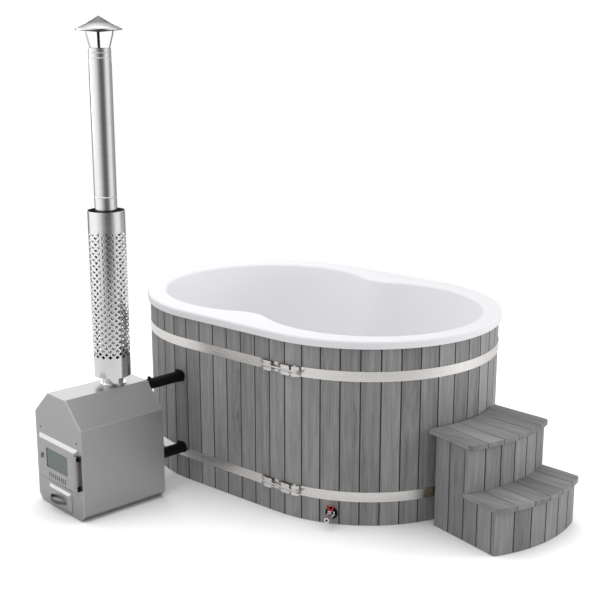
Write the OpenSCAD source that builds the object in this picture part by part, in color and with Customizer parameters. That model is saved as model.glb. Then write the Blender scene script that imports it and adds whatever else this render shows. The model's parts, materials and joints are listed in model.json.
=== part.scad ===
// Oval wooden hot tub with a moulded liner, an outside wood stove with its flue,
// two hoses between them and a pair of curved steps.
// X runs along the tub, the stove and the visible long side face -Y, and Z is up.
// The origin lies on the floor under the middle of the tub.

/* [Tub wall] */
// Height of the wooden wall
wall_h = 900; // [750:10:1050]
// Radius of the rounded ends, half of the width over the boards
end_r = 700; // [620:10:780]
// Length of the straight stretch between the two rounded ends
straight_l = 632; // [500:4:760]
// Number of wall boards around the tub
board_count = 58; // [50:2:66]
// Thickness of a wall board
board_t = 22; // [18:1:26]
// Joint between two neighbouring boards
board_gap = 0.6; // [0.3:0.1:0.9]
// Chamfer on the long outer edges of a board
board_chamfer = 2.5; // [1:0.5:4]

/* [Tub frame] */
// Height of the bearers under the deck
bearer_h = 95; // [85:1:110]
// Width of a bearer
bearer_w = 70; // [50:5:100]
// Thickness of the deck that carries the liner
deck_t = 18; // [12:1:24]
// Width of the hoops and posts behind the boards
post_w = 38; // [30:1:42]
// Thickness of a hoop
hoop_t = 24; // [18:1:30]
// Number of posts
post_count = 12; // [8:2:16]

/* [Liner] */
// Height of the rim's top above the top of the boards
rim_rise = 36; // [28:1:44]
// Overhang of the rim beyond the boards
rim_over = 13; // [9:1:20]
// Rounding of the rim's outer edge
rim_round = 12; // [8:1:14]
// Rounding of the lip where the rim turns into the basin
lip_round = 16; // [10:1:20]
// Wall thickness of the liner
shell_t = 6; // [4:0.5:7]
// Distance of the two lobes' centres from the middle
lobe_x = 356; // [330:2:380]
// Radius of each lobe of the basin
lobe_r = 583; // [560:1:600]
// Half of the basin's width at its waist
waist_half = 501; // [490:1:515]
// Height of the seats above the floor
seat_z = 430; // [380:10:480]
// Half length of the foot well
well_x = 470; // [420:10:500]
// Half width of the foot well
well_y = 355; // [320:5:370]

/* [Bands] */
// Width of a steel band
band_w = 50; // [40:1:60]
// Thickness of a steel band
band_t = 1.5; // [1:0.25:2]
// Height of the upper band's middle
band_high_z = 759; // [700:1:820]
// Height of the lower band's middle
band_low_z = 149; // [140:1:170]
// Place of the band clamps along the front, from the middle
clamp_x = 332; // [200:1:340]
// Diameter of a clamp's threaded rod
rod_d = 10; // [8:0.5:12]

/* [Drain] */
// Wall board that the drain comes through
drain_board = 20; // [19:1:22]
// Height of the drain above the floor
drain_z = 58; // [54:1:64]
// Outer diameter of the drain pipe
drain_d = 34; // [28:1:38]
// Diameter of the black rosette
rosette_d = 62; // [56:1:72]
// Outer diameter of the valve's spout
spout_d = 26; // [24:0.5:28]
// Reach of the valve beyond the boards
valve_reach = 96; // [90:1:110]

/* [Hoses] */
// Wall board that both hoses come through
port_board = 10; // [10:1:11]
// Height of the upper hose
port_high_z = 571; // [550:1:575]
// Height of the lower hose
port_low_z = 172; // [165:1:190]
// Outer diameter of a hose
hose_d = 56; // [50:1:58]
// Wall thickness of a hose
hose_t = 4; // [3:0.5:5]
// Distance between the stove and the boards
stove_gap = 231; // [190:1:270]
// Angle by which the stove is turned from square to its board
stove_turn = 2.8; // [1:0.1:6]

/* [Stove] */
// Width of the stove
stove_w = 426; // [400:2:450]
// Height of the stove
stove_h = 601; // [590:1:640]
// Length of the stove
stove_l = 484; // [440:1:540]
// Height of the stove's shoulders
shoulder_h = 478; // [450:1:500]
// Width of the stove's flat top
roof_w = 160; // [150:1:180]
// Chamfer along the bottom edges
foot_chamfer = 34; // [25:1:45]
// Thickness of the casing
casing_t = 2.5; // [2:0.25:3]
// Thickness of the front plate
plate_t = 4; // [3:0.5:5]
// Distance from the middle of the stove to the hoses
port_side = 67; // [55:1:70]

/* [Stove door] */
// Width of the door
door_w = 360; // [350:1:362]
// Height of the door's lower edge
door_z = 134; // [132:1:138]
// Height of the door
door_h = 238; // [225:1:240]
// Depth of the door pan
door_d = 13.5; // [13:0.5:15]
// Width of the bevel around the door
door_bevel = 18; // [14:1:22]
// Width of the window
window_w = 198; // [170:1:210]
// Height of the window
window_h = 102; // [90:1:106]
// Height of the window's middle
window_z = 264; // [258:1:268]
// Number of air slots under the window
slot_count = 9; // [5:2:13]
// Diameter of the hinge pin
pin_d = 8; // [7:0.5:9]
// Diameter of the hinge barrel
barrel_d = 20; // [18:0.5:21]

/* [Ash drawer] */
// Width of the drawer's front
drawer_w = 208; // [190:1:220]
// Height of the drawer's front
drawer_h = 104; // [96:1:108]
// Height of the drawer front's lower edge
drawer_z = 18; // [16:1:20]
// Depth of the drawer's front
drawer_d = 12; // [10:0.5:14]
// Length of the drawer's tray
tray_l = 340; // [280:5:360]

/* [Flue] */
// Distance from the stove's front to the flue
flue_y = 333; // [300:1:350]
// Outer diameter of the flue pipe
flue_d = 110; // [100:1:120]
// Wall thickness of the flue pipe
flue_t = 1.2; // [1:0.1:2]
// Height of the pipe's top
flue_top = 2263; // [2000:1:2500]
// Height of the joint between the two long pipes
flue_joint = 1547; // [1520:1:1600]
// Length of the top piece of pipe
flue_tail = 80; // [60:1:100]
// Diameter of the heat shield
shield_d = 183; // [170:1:200]
// Height of the heat shield's lower edge
shield_z = 648; // [640:1:700]
// Length of the heat shield
shield_l = 840; // [700:1:860]
// Number of openings around the heat shield
shield_cols = 12; // [10:1:16]
// Number of half rows of openings
shield_rows = 31; // [15:2:35]
// Height of the band of openings
lattice_h = 670; // [560:1:680]
// Diameter of the rain cap
cap_d = 227; // [200:1:240]
// Height of the rain cap's cone
cap_h = 58; // [45:1:70]
// Gap between the pipe's top and the rain cap
cap_gap = 92; // [70:1:100]

/* [Steps] */
// Height of one step
step_rise = 243; // [220:1:260]
// Distance between the two risers
step_going = 200; // [180:1:230]
// Distance from the end circle's middle to the upper riser
step_reach = 999; // [960:1:1030]
// Half width of the steps at their back
step_half = 260; // [245:1:290]
// Angle by which each side fans out
step_fan = 4.9; // [2:0.1:6]
// Direction of the steps around the tub's end
step_turn = -8.9; // [-14:0.1:6]
// Sideways place of the steps
step_shift = 50; // [0:1:60]
// Curve radius of the lower riser
riser_low_r = 752; // [700:2:900]
// Curve radius of the upper riser
riser_high_r = 840; // [760:2:960]
// Thickness of a tread
tread_t = 25; // [20:1:30]
// Overhang of a tread over its riser
nosing = 20; // [12:1:25]
// Number of boards in each tread and riser
step_boards = 6; // [4:1:8]

/* [Hidden] */
$fn = 72;

// Gap between pieces that are seated on each other
fit = 0.3;
// Radial clearance of a turning pin
run_fit = 0.06;
// Extra depth of every cut beyond the piece it cuts
over = 5;

// Half of the straight stretch, the quarter circle's length and the whole outline's
half_l = straight_l / 2;
quarter = PI * end_r / 2;
outline_l = 4 * quarter + 2 * straight_l;
board_pitch = outline_l / board_count;
// Share of a board by which the first joint lies beyond the tub's left end
first_joint_share = 0.3;

// Joint number k, and the middle of board k, as lengths along the outline
function joint(k) = (k + first_joint_share) * board_pitch;
function board_mid(k) = joint(k + 0.5);
function lap(s) = s - outline_l * floor(s / outline_l);
// Direction in which the outline faces at length s, going from the left end past the front
function facing(s) =
  let (m = lap(s))
  m < quarter ? 180 + 90 * m / quarter
  : m < quarter + straight_l ? 270
  : m < 3 * quarter + straight_l ? 270 + 90 * (m - quarter - straight_l) / quarter
  : m < 3 * quarter + 2 * straight_l ? 450
  : 450 + 90 * (m - 3 * quarter - 2 * straight_l) / quarter;
// Middle of the circle, or foot on the long axis, that belongs to length s
function spine(s) =
  let (m = lap(s))
  m < quarter ? -half_l
  : m < quarter + straight_l ? m - quarter - half_l
  : m < 3 * quarter + straight_l ? half_l
  : m < 3 * quarter + 2 * straight_l ? 3 * quarter + straight_l + half_l - m
  : -half_l;
function on_wall(s, d = 0) =
  [spine(s) + (end_r + d) * cos(facing(s)), (end_r + d) * sin(facing(s))];
// Middle of a board's flat outer face and the direction it faces
function face_mid(k) =
  (on_wall(joint(k) + board_chamfer) + on_wall(joint(k + 1) - board_chamfer)) / 2;
function face_turn(k) = facing(board_mid(k));

module stadium(r) {
  for (side = [-1, 1]) translate([side * half_l, 0]) circle(r = r, $fn = 180);
  square([straight_l, 2 * r], center = true);
}

// Place with X pointing out of the wall at board k and height z
module at_board(k, z) {
  translate([face_mid(k)[0], face_mid(k)[1], z]) rotate(face_turn(k)) children();
}

// Cylinder, or tube with a bore, along X from x0 to x1
module rod_x(x0, x1, d, bore = 0) {
  translate([x0, 0, 0]) rotate([0, 90, 0]) difference() {
    cylinder(d = d, h = x1 - x0);
    if (bore > 0) translate([0, 0, -over]) cylinder(d = bore, h = x1 - x0 + 2 * over);
  }
}

module tube(d, t, h) {
  difference() {
    cylinder(d = d, h = h);
    translate([0, 0, -over]) cylinder(d = d - 2 * t, h = h + 2 * over);
  }
}

// Hexagonal nut around X with a clear bore
module nut_x(x0, h, width, bore) {
  translate([x0, 0, 0]) rotate([0, 90, 0]) difference() {
    cylinder(d = width / cos(30), h = h, $fn = 6);
    translate([0, 0, -over]) cylinder(d = bore, h = h + 2 * over);
  }
}

// Bearers and deck
// Place of each bearer as a share of the outermost one's distance; the drain
// pipe runs where the front half of a fifth one would lie, so that one is short
bearer_shares = [-1, -0.5, 0, 1];
short_share = 0.5;
short_start = 60;
bearer_x = half_l + 0.58 * end_r;
back_face = board_t + fit;
deck_z = bearer_h + deck_t;

function half_width_at(x, r) = abs(x) < half_l ? r : sqrt(r * r - pow(abs(x) - half_l, 2));
function ring_points(d) = [for (k = [0 : board_count - 1]) on_wall(joint(k), d)];

module bearers() {
  color([0.62, 0.5, 0.36])
  for (share = bearer_shares) {
    x = share * bearer_x;
    reach = half_width_at(abs(x) + bearer_w / 2, end_r - back_face) - bearer_w / 2;
    translate([x - bearer_w / 2, -reach, 0]) cube([bearer_w, 2 * reach, bearer_h]);
  }
  color([0.62, 0.5, 0.36])
  translate([short_share * bearer_x - bearer_w / 2, short_start, 0])
    cube([bearer_w, half_width_at(short_share * bearer_x, end_r) - bearer_w - short_start, bearer_h]);
}

// Deck boards along the tub; the middle one is in two lengths, with the drain's
// riser between them
deck_boards = 7;
deck_joint = 2;
slot_reach = end_r / 2;

module deck() {
  board_w = 2 * (end_r - back_face) / deck_boards;
  color([0.72, 0.6, 0.43])
  for (k = [0 : deck_boards - 1]) difference() {
    translate([0, 0, bearer_h]) linear_extrude(deck_t) intersection() {
      polygon(ring_points(-back_face));
      translate([-2 * end_r, (k - deck_boards / 2) * board_w + deck_joint / 2])
        square([4 * end_r, board_w - deck_joint]);
    }
    if (2 * k == deck_boards - 1) at_drain()
      translate([-drain_run - slot_reach, -drain_d / 2 - fit, 0])
        cube([2 * slot_reach, drain_d + 2 * fit, 2 * deck_z]);
  }
}

// Hoops and posts behind the boards
rim_z = wall_h + rim_rise;
hoop_top = rim_z - shell_t - fit;
mid_hoop_z = (deck_z + hoop_top - hoop_t) / 2;

module hoop(z) {
  translate([0, 0, z]) linear_extrude(hoop_t) difference() {
    polygon(ring_points(-back_face));
    polygon(ring_points(-back_face - post_w));
  }
}

module frame_hoops() {
  color([0.66, 0.53, 0.38]) {
    hoop(hoop_top - hoop_t);
    difference() {
      hoop(mid_hoop_z);
      at_board(port_board, port_high_z) rod_x(-end_r / 2, over, hose_d);
    }
  }
}

// Posts stand behind whole boards, spread evenly; the first lies clear of the hoses
post_boards = [for (i = [0 : post_count - 1]) 2 + floor(i * board_count / post_count)];

module post(k, z0, z1) {
  s = board_mid(k);
  p = on_wall(s, -back_face - post_w / 2);
  sag = (end_r - board_t) * (1 - cos(90 * board_pitch / quarter / 2));
  translate([p[0], p[1], z0]) rotate(facing(s))
  translate([-post_w / 2, -post_w / 2, 0]) cube([post_w - sag, post_w, z1 - z0]);
}

module frame_posts() {
  color([0.66, 0.53, 0.38])
  for (k = post_boards) {
    post(k, deck_z, mid_hoop_z);
    post(k, mid_hoop_z + hoop_t, hoop_top - hoop_t);
  }
}

// Wall boards
hose_slack = 0.5;
pipe_d = hose_d - 2 * hose_t - 2 * hose_slack;
port_hole = pipe_d + 2 * fit;
drain_hole = drain_d + 2 * fit;

function board_shape(k) =
  let (a = joint(k) + board_gap / 2, b = joint(k + 1) - board_gap / 2, c = board_chamfer)
  [on_wall(a, -c), on_wall(a + c), on_wall(b - c), on_wall(b, -c),
   on_wall(b, -board_t), on_wall(a, -board_t)];

module wall_board(k) {
  difference() {
    linear_extrude(wall_h) polygon(board_shape(k));
    if (k == port_board) for (z = [port_low_z, port_high_z])
      at_board(k, z) rod_x(-2 * board_t, over, port_hole);
    if (k == drain_board) at_drain() rod_x(-2 * board_t, over, drain_hole);
  }
}

// The boards that lie on one stretch of the outline: 0 and 2 are ends, 1 and 3 are sides
module wall_boards(stretch) {
  color([0.45, 0.45, 0.46])
  for (k = [0 : board_count - 1])
    let (turn = facing(board_mid(k)),
         own = turn == 270 ? 1 : turn == 450 ? 3 : turn > 270 && turn < 450 ? 2 : 0)
      if (own == stretch) wall_board(k);
}

module wall_boards_left() wall_boards(0);
module wall_boards_front() wall_boards(1);
module wall_boards_right() wall_boards(2);
module wall_boards_back() wall_boards(3);

// Liner: rings of points around the basin, from the hanging lip to the floor
ring_steps = 96;
floor_z = deck_z + fit + shell_t;
rim_drop = wall_h - board_t / 8;
basin_h = rim_z - lip_round - seat_z;

// Distance from the middle to each outline, in the direction a, grown by g
function far_side(x, r, a) = x * abs(cos(a)) + sqrt(r * r - pow(x * sin(a), 2));
function stadium_at(a, g) =
  let (r = end_r + g, c = abs(cos(a)), s = abs(sin(a)))
  r * c < half_l * s ? r / s : far_side(half_l, r, a);
function waist_r(g) =
  (pow(lobe_x, 2) + pow(waist_half + g, 2) - pow(lobe_r + g, 2)) / (2 * (lobe_r - waist_half));
function basin_at(a, g) =
  let (b = waist_r(g), y = waist_half + g + b, s = abs(sin(a)), c = abs(cos(a)),
       tangent = atan2(y * (lobe_r + g), lobe_x * b))
  atan2(s, c) > tangent ? y * s - sqrt(b * b - pow(y * c, 2)) : far_side(lobe_x, lobe_r + g, a);
function well_at(a, g) =
  1 / sqrt(pow(cos(a) / (well_x + g), 2) + pow(sin(a) / (well_y + g), 2));

// Shape, growth, height, and the direction from the visible face into the laminate
wall_draft = 0.08 * basin_h;
seat_round = 0.09 * basin_h;
well_h = seat_z - floor_z;
liner_rings = [
  ["rim", rim_over, rim_drop, -1, 0],
  ["rim", rim_over, rim_z - rim_round, -1, 0],
  ["rim", rim_over - 0.3 * rim_round, rim_z - 0.3 * rim_round, -0.7, -0.7],
  ["rim", rim_over - rim_round, rim_z, 0, -1],
  ["basin", lip_round, rim_z, 0, -1],
  ["basin", 0.3 * lip_round, rim_z - 0.3 * lip_round, 0.7, -0.7],
  ["basin", 0, rim_z - lip_round, 1, 0],
  ["basin", -wall_draft / 2, seat_z + basin_h / 2, 1, 0],
  ["basin", -wall_draft, seat_z + seat_round, 1, 0],
  ["basin", -wall_draft - 0.3 * seat_round, seat_z + 0.3 * seat_round, 0.7, -0.7],
  ["basin", -wall_draft - seat_round, seat_z, 0, -1],
  ["well", seat_round / 2, seat_z, 0, -1],
  ["well", 0, seat_z - seat_round / 2, 1, 0],
  ["well", -well_h / 10, floor_z + well_h / 4, 1, 0],
  ["well", -well_h / 5, floor_z + well_h / 16, 0.7, -0.7],
  ["well", -well_h / 3, floor_z, 0, -1]
];

function ring_at(shape, a, g) =
  shape == "rim" ? stadium_at(a, g) : shape == "basin" ? basin_at(a, g) : well_at(a, g);
function liner_ring(row, t) = [
  for (i = [0 : ring_steps - 1])
    let (a = 360 * i / ring_steps, r = ring_at(row[0], a, row[1] + t * row[3]))
      [r * cos(a), r * sin(a), row[2] + t * row[4]]
];

module lofted(rings) {
  n = ring_steps;
  m = len(rings);
  points = [for (ring = rings, p = ring) p];
  sides = [for (j = [0 : m - 2], i = [0 : n - 1], half = [0, 1])
    let (a = j * n + i, b = j * n + (i + 1) % n, c = a + n, d = b + n)
      half == 0 ? [a, d, b] : [a, c, d]];
  first = [for (i = [0 : n - 1]) i];
  last = [for (i = [n - 1 : -1 : 0]) (m - 1) * n + i];
  polyhedron(points, concat([first], sides, [last]), convexity = 8);
}

// Outside of the hull and inside of the basin as two closed lofts
liner_last = len(liner_rings) - 1;

module liner_hull() {
  lofted([for (j = [0 : liner_last]) liner_ring(liner_rings[j], j < 4 ? 0 : shell_t)]);
}

module liner() {
  n = ring_steps;
  m = len(liner_rings);
  outer = [for (j = [0 : liner_last]) liner_ring(liner_rings[j], 0)];
  inner = [for (j = [liner_last : -1 : 0]) liner_ring(liner_rings[j], shell_t)];
  points = [for (ring = concat(outer, inner), p = ring) p];
  sides = [for (j = [0 : 2 * m - 1], i = [0 : n - 1], half = [0, 1])
    if (j != m - 1)
      let (k = (j + 1) % (2 * m), a = j * n + i, b = j * n + (i + 1) % n,
           c = a + (k - j) * n, d = b + (k - j) * n)
        half == 0 ? [a, d, b] : [a, c, d]];
  top = [for (i = [n - 1 : -1 : 0]) (m - 1) * n + i];
  under = [for (i = [0 : n - 1]) m * n + i];
  color([0.93, 0.93, 0.95])
  difference() {
    polyhedron(points, concat(sides, [top, under]), convexity = 8);
    for (z = [port_low_z, port_high_z])
      at_board(port_board, z) rod_x(-port_depth(z) - end_r / 4, -end_r / 20, pipe_d + 2 * fit);
    at_drain() translate([-drain_run, 0, 0]) cylinder(d = drain_bore, h = 2 * deck_z);
  }
}

// Ports: where a straight line from the board meets the basin's wall
pipe_t = 2.5;
seat_level = seat_z + seat_round;
function wall_growth(z) =
  lookup(z, [[seat_level, -wall_draft], [seat_z + basin_h / 2, -wall_draft / 2], [rim_z - lip_round, 0]]);
function well_growth(z) = lookup(z, [[floor_z + well_h / 4, -well_h / 10], [seat_z - seat_round / 2, 0]]);
function port_dir() = [cos(face_turn(port_board)), sin(face_turn(port_board))];
// Positive root of the line p - t * d against the circle or ellipse of half axes u and v about [x, 0]
function line_hit(p, d, x, u, v) =
  let (px = (p[0] - x) / u, py = p[1] / v, dx = d[0] / u, dy = d[1] / v,
       a = dx * dx + dy * dy, b = -(px * dx + py * dy), c = px * px + py * py - 1)
  (-b - sqrt(b * b - a * c)) / a;
function port_depth(z) =
  z > seat_z
  ? line_hit(face_mid(port_board), port_dir(), -lobe_x, lobe_r + wall_growth(z), lobe_r + wall_growth(z))
  : line_hit(face_mid(port_board), port_dir(), 0, well_x + well_growth(z), well_y + well_growth(z));

module pipe_run(z) {
  at_board(port_board, z) difference() {
    rod_x(-port_depth(z) - end_r / 8, nipple_l, pipe_d, pipe_d - 2 * pipe_t);
    children();
  }
}

// Space inside the basin, grown by the laminate so that pipe ends stop at its face
module basin_space() {
  lofted([for (j = [liner_last : -1 : 5]) liner_ring(liner_rings[j], 0)]);
}

nipple_l = 0.9 * hose_d;
flange_t = 6;

module port_pipes() {
  color([0.75, 0.76, 0.78])
  difference() {
    for (z = [port_low_z, port_high_z]) pipe_run(z);
    basin_space();
  }
}

// Cover rings on the boards, notched into the lower band
module tub_ports() {
  color([0.1, 0.1, 0.1])
  for (z = [port_low_z, port_high_z])
    at_board(port_board, z) rod_x(fit, flange_t, hose_d + flange_t, pipe_d + 2 * fit);
}

// Perforated discs inside the pipe ends
grille_holes = 6;

module port_grilles() {
  bore = pipe_d - 2 * pipe_t - 2 * fit;
  color([0.8, 0.8, 0.82])
  for (z = [port_low_z, port_high_z])
    at_board(port_board, z) translate([-port_depth(z), 0, 0]) difference() {
      rod_x(bore / 2, pipe_t + bore / 2, bore);
      for (i = [1 : grille_holes]) rotate([i * 360 / grille_holes, 0, 0])
        translate([0, 0, bore / 3.2]) rod_x(0, 2 * bore, bore / 5);
    }
}

// Bands with their notches for the hose ends
module band(z) {
  color([0.76, 0.74, 0.72])
  difference() {
    translate([0, 0, z - band_w / 2]) linear_extrude(band_w) difference() {
      stadium(end_r + fit + band_t);
      stadium(end_r + fit);
    }
    for (pz = [port_low_z, port_high_z])
      at_board(port_board, pz) rod_x(-over, 2 * over, hose_d + flange_t + 4 * fit);
  }
}

module band_upper() band(band_high_z);
module band_lower() band(band_low_z);

// Band clamps: two brackets and a threaded rod; X is outward and Y runs along the band
clamp_s = quarter + half_l + clamp_x;
plate_l = 46;
ramp_l = 30;
bracket_t = 3;
bracket_h = 17;
// Gap between the two formed brackets and the gap to the band's own bent end
bracket_gap = 20;
end_gap = 15;
left_x = -bracket_gap - ramp_l / 2 - plate_l;
right_x = bracket_gap / 2 - ramp_l / 6;
rod_off = bracket_h - bracket_t / 2;

module at_clamp(z) {
  p = on_wall(clamp_s);
  translate([p[0], p[1], z]) rotate(facing(clamp_s)) children();
}

// Strip that rises from the band at y0 over a ramp to a plate with an open end at y1,
// slotted for the rod from the middle of the ramp on
module formed_bracket(y0, ramp, y1) {
  slot = rod_d + 2 * fit;
  side = sign(ramp);
  base = band_t + 2 * fit;
  translate([0, 0, -band_w / 2]) difference() {
    linear_extrude(band_w)
      polygon([[base, y0], [base, y0 + side * 1.5 * bracket_t],
               [bracket_h - bracket_t, y0 + ramp + side * bracket_t],
               [bracket_h - bracket_t, y1], [bracket_h, y1], [bracket_h, y0 + ramp]]);
    translate([-over, min(y0 + ramp / 2, y1) - (side < 0 ? over : 0), (band_w - slot) / 2])
      cube([bracket_h + 2 * over, abs(y1 - y0 - ramp / 2) + over, slot]);
  }
}

module clamp_brackets() {
  color([0.72, 0.71, 0.7])
  for (z = [band_low_z, band_high_z]) difference() {
    at_clamp(z) {
      formed_bracket(left_x - ramp_l, ramp_l, left_x + plate_l);
      formed_bracket(right_x - ramp_l / 6, ramp_l, right_x + ramp_l + plate_l);
      formed_bracket(rod_end, -ramp_l, rod_end - 1.2 * ramp_l);
    }
    translate([0, 0, z - band_w]) linear_extrude(2 * band_w) stadium(end_r + band_t + 2 * fit);
  }
}

rod_start = left_x - ramp_l / 2;
rod_end = right_x + ramp_l + plate_l + end_gap + 1.2 * ramp_l;
nut_h = 8;
rod_tail = 5;

module clamp_rods() {
  color([0.62, 0.62, 0.64])
  for (z = [band_low_z, band_high_z]) at_clamp(z)
    translate([rod_off, rod_end + nut_h + rod_tail, 0]) rotate([90, 0, 0])
      cylinder(d = rod_d, h = rod_end + nut_h + rod_tail - rod_start);
}

module clamp_nuts() {
  color([0.7, 0.7, 0.72])
  for (z = [band_low_z, band_high_z]) at_clamp(z)
    translate([rod_off, rod_end + nut_h, 0]) rotate([0, 0, -90])
      nut_x(0, nut_h, 1.7 * rod_d, rod_d + 2 * fit);
}

rivet_x = clamp_x / 2;
rivet_d = 8;

module band_rivets() {
  color([0.5, 0.5, 0.5])
  for (z = [band_low_z, band_high_z], side = [-1, 1])
    translate([rivet_x, -end_r - fit - band_t, z + side * band_w / 5]) rotate([90, 0, 0])
      cylinder(d = rivet_d, h = band_t);
}

// Drain: frame with X out of the wall at the drain's board
drain_shift = 12;
drain_wall = 3;
rosette_t = 4;
drain_run = 1.1 * end_r;
drain_bore = drain_d - 2 * drain_wall;
spout_wall = 6.5;
mouth_bore = spout_d - 2 * spout_wall;
mouth_step = 0.5;
water_bore = mouth_bore - 2 * mouth_step;
ball_x = 22;
ball_d = 22;
ball_wall = 4;
stem_d = 6;
stem_top = 24;
wing_reach = 19;
wing_rise = 27;
wing_t = 4;

module at_drain(z = 0) {
  at_board(drain_board, drain_z + z) translate([0, drain_shift, 0]) children();
}

module drain_rosette() {
  color([0.12, 0.12, 0.12])
  at_drain() rod_x(fit, rosette_t, rosette_d, drain_bore + 2 * fit);
}

module drain_valve() {
  body_d = ball_d + 2 * ball_wall;
  nut_t = 6;
  color([0.8, 0.8, 0.82])
  at_drain() difference() {
    union() {
      rod_x(-drain_bore, ball_x, drain_bore - 2 * fit);
      nut_x(rosette_t + fit, nut_t, drain_d, water_bore);
      rod_x(ball_x - body_d / 2, ball_x + body_d / 2, body_d);
      rod_x(ball_x, valve_reach, spout_d);
      translate([ball_x, 0, 0]) cylinder(d = 2 * stem_d, h = body_d / 2 + drain_wall);
    }
    rod_x(-drain_bore - over, valve_reach + over, water_bore);
    rod_x(ball_x + body_d / 2, valve_reach + over, mouth_bore);
    translate([ball_x, 0, 0]) sphere(d = ball_d + 2 * fit);
    translate([ball_x, 0, 0]) cylinder(d = stem_d + 2 * run_fit, h = body_d);
  }
}

module drain_pipe() {
  color([0.75, 0.76, 0.78])
  at_drain() {
    // Riser under the sump, closed at its foot
    translate([-drain_run, 0, 0]) difference() {
      translate([0, 0, -drain_d / 2]) cylinder(d = drain_d, h = deck_z - drain_z + drain_d / 2);
      translate([0, 0, -drain_bore / 2]) cylinder(d = drain_bore, h = 2 * deck_z);
      rod_x(0, drain_d, drain_bore - drain_wall);
    }
    // Run to the wall
    difference() {
      rod_x(-drain_run, 0, drain_d);
      rod_x(-drain_run, over, drain_bore);
      translate([-drain_run, 0, -drain_d]) cylinder(d = drain_d + 2 * fit, h = 2 * drain_d);
    }
  }
}

module drain_strainer() {
  head_t = 3;
  head_d = 2 * drain_bore;
  color([0.8, 0.8, 0.82])
  at_drain(floor_z - drain_z) translate([-drain_run, 0, 0]) difference() {
    union() {
      cylinder(d = head_d, h = head_t);
      translate([0, 0, -drain_bore / 2]) cylinder(d = drain_bore - 2 * fit, h = drain_bore / 2 + head_t / 2);
    }
    for (i = [1 : grille_holes]) rotate(i * 360 / grille_holes)
      translate([drain_bore / 3.4, 0, -drain_bore]) cylinder(d = drain_bore / 5, h = 2 * drain_bore);
  }
}

// The ball closes the valve at rest; its waterway runs across the body
stem_floor = 1;
stem_foot = water_bore / 2 + stem_floor;

module valve_ball() {
  color([0.85, 0.85, 0.87])
  at_drain() translate([ball_x, 0, 0]) difference() {
    sphere(d = ball_d, $fn = 180);
    rotate([90, 0, 0]) cylinder(d = water_bore, h = 2 * ball_d, center = true);
    translate([0, 0, stem_foot]) cylinder(d = stem_d + 2 * run_fit, h = ball_d);
  }
}

module valve_handle() {
  wing_l = 14;
  color([0.75, 0.1, 0.1])
  at_drain() translate([ball_x, 0, 0]) {
    translate([0, 0, stem_foot + fit]) cylinder(d = stem_d, h = stem_top - wing_t - stem_foot - fit);
    translate([0, 0, stem_top - wing_t]) cylinder(d = 2 * stem_d, h = wing_t);
    for (side = [-1, 1]) translate([wing_l / 2, 0, stem_top - wing_t]) rotate([90, 0, -90])
      linear_extrude(wing_l)
      polygon([[side * stem_d / 2, 0], [side * (stem_d + wing_t), 0],
               [side * wing_reach, wing_rise - wing_t / 2], [side * (wing_reach - wing_t), wing_rise],
               [side * stem_d / 2, wing_t]]);
  }
}

// Hoses: arcs between the wall and the stove's back
bend_r = stove_gap / sin(stove_turn);
clip_w = 10;
clip_t = 1.5;

module hose_arc(z, x0, x1, inner, outer) {
  a0 = asin(x0 / bend_r);
  a1 = asin(x1 / bend_r);
  at_board(port_board, z) translate([0, -bend_r, 0]) rotate(90 - a1)
  rotate_extrude(angle = a1 - a0, $fn = 360) translate([bend_r, 0]) difference() {
    circle(d = outer);
    circle(d = inner);
  }
}

module hose(z) {
  color([0.1, 0.1, 0.1])
  hose_arc(z, flange_t + fit, stove_gap - flange_t - fit, hose_d - 2 * hose_t, hose_d);
}

module hose_upper() hose(port_high_z);
module hose_lower() hose(port_low_z);

module hose_clips() {
  color([0.15, 0.15, 0.15])
  for (z = [port_low_z, port_high_z], x = [2 * clip_w, stove_gap - 3 * clip_w]) {
    outer = hose_d + 2 * fit + 2 * clip_t;
    hose_arc(z, x, x + clip_w, hose_d + 2 * fit, outer);
    // Tightening screw's housing on top of the clip
    at_board(port_board, z) translate([x, -bend_r * (1 - cos(asin(x / bend_r))), outer / 2])
      rotate(-stove_turn / 2) translate([0, -clip_w, -clip_t / 2]) cube([clip_w, 2 * clip_w, clip_w]);
  }
}

// Stove frame: X to the right of a person in front of the door, Y into the stove
module at_stove() {
  at_board(port_board, 0) translate([stove_gap, -bend_r * (1 - cos(stove_turn)), 0])
  rotate(90 - stove_turn) translate([-port_side, -stove_l, 0]) children();
}

module slab(y0, y1) {
  translate([0, y1, 0]) rotate([90, 0, 0]) linear_extrude(y1 - y0) children();
}

module block(x0, x1, y0, y1, z0, z1) {
  translate([x0, y0, z0]) cube([x1 - x0, y1 - y0, z1 - z0]);
}

// Outline of the stove and the same outline moved inward by t
stove_half = stove_w / 2;
stove_outline = [
  [foot_chamfer - stove_half, 0], [stove_half - foot_chamfer, 0], [stove_half, foot_chamfer],
  [stove_half, shoulder_h], [roof_w / 2, stove_h], [-roof_w / 2, stove_h],
  [-stove_half, shoulder_h], [-stove_half, foot_chamfer]
];
function side_normal(a, b) = [a[1] - b[1], b[0] - a[0]] / norm(b - a);
function inset(pts, t) = [
  for (i = [0 : len(pts) - 1])
    let (n = len(pts), a = pts[(i + n - 1) % n], b = pts[i], c = pts[(i + 1) % n],
         u = side_normal(a, b), v = side_normal(b, c))
      b + t * (u + v) / (1 + u * v)
];

// Firebox and the ash duct under it
box_t = 4;
box_rise = 20;
// Water space between the firebox and the casing's back
back_jacket = 43;
door_frame = 25;
open_w = door_w - 2 * door_frame;
open_z0 = door_z + door_frame;
open_z1 = door_z + door_h - door_frame;
box_top = shoulder_h + box_rise;
box_back = stove_l - back_jacket;
drawer_frame = 9;
duct_w = drawer_w - 2 * drawer_frame;
duct_drop = 2;
duct_z = drawer_z + drawer_frame - duct_drop;
tray_room = 8;
duct_back = tray_l + plate_t + tray_room;
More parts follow.
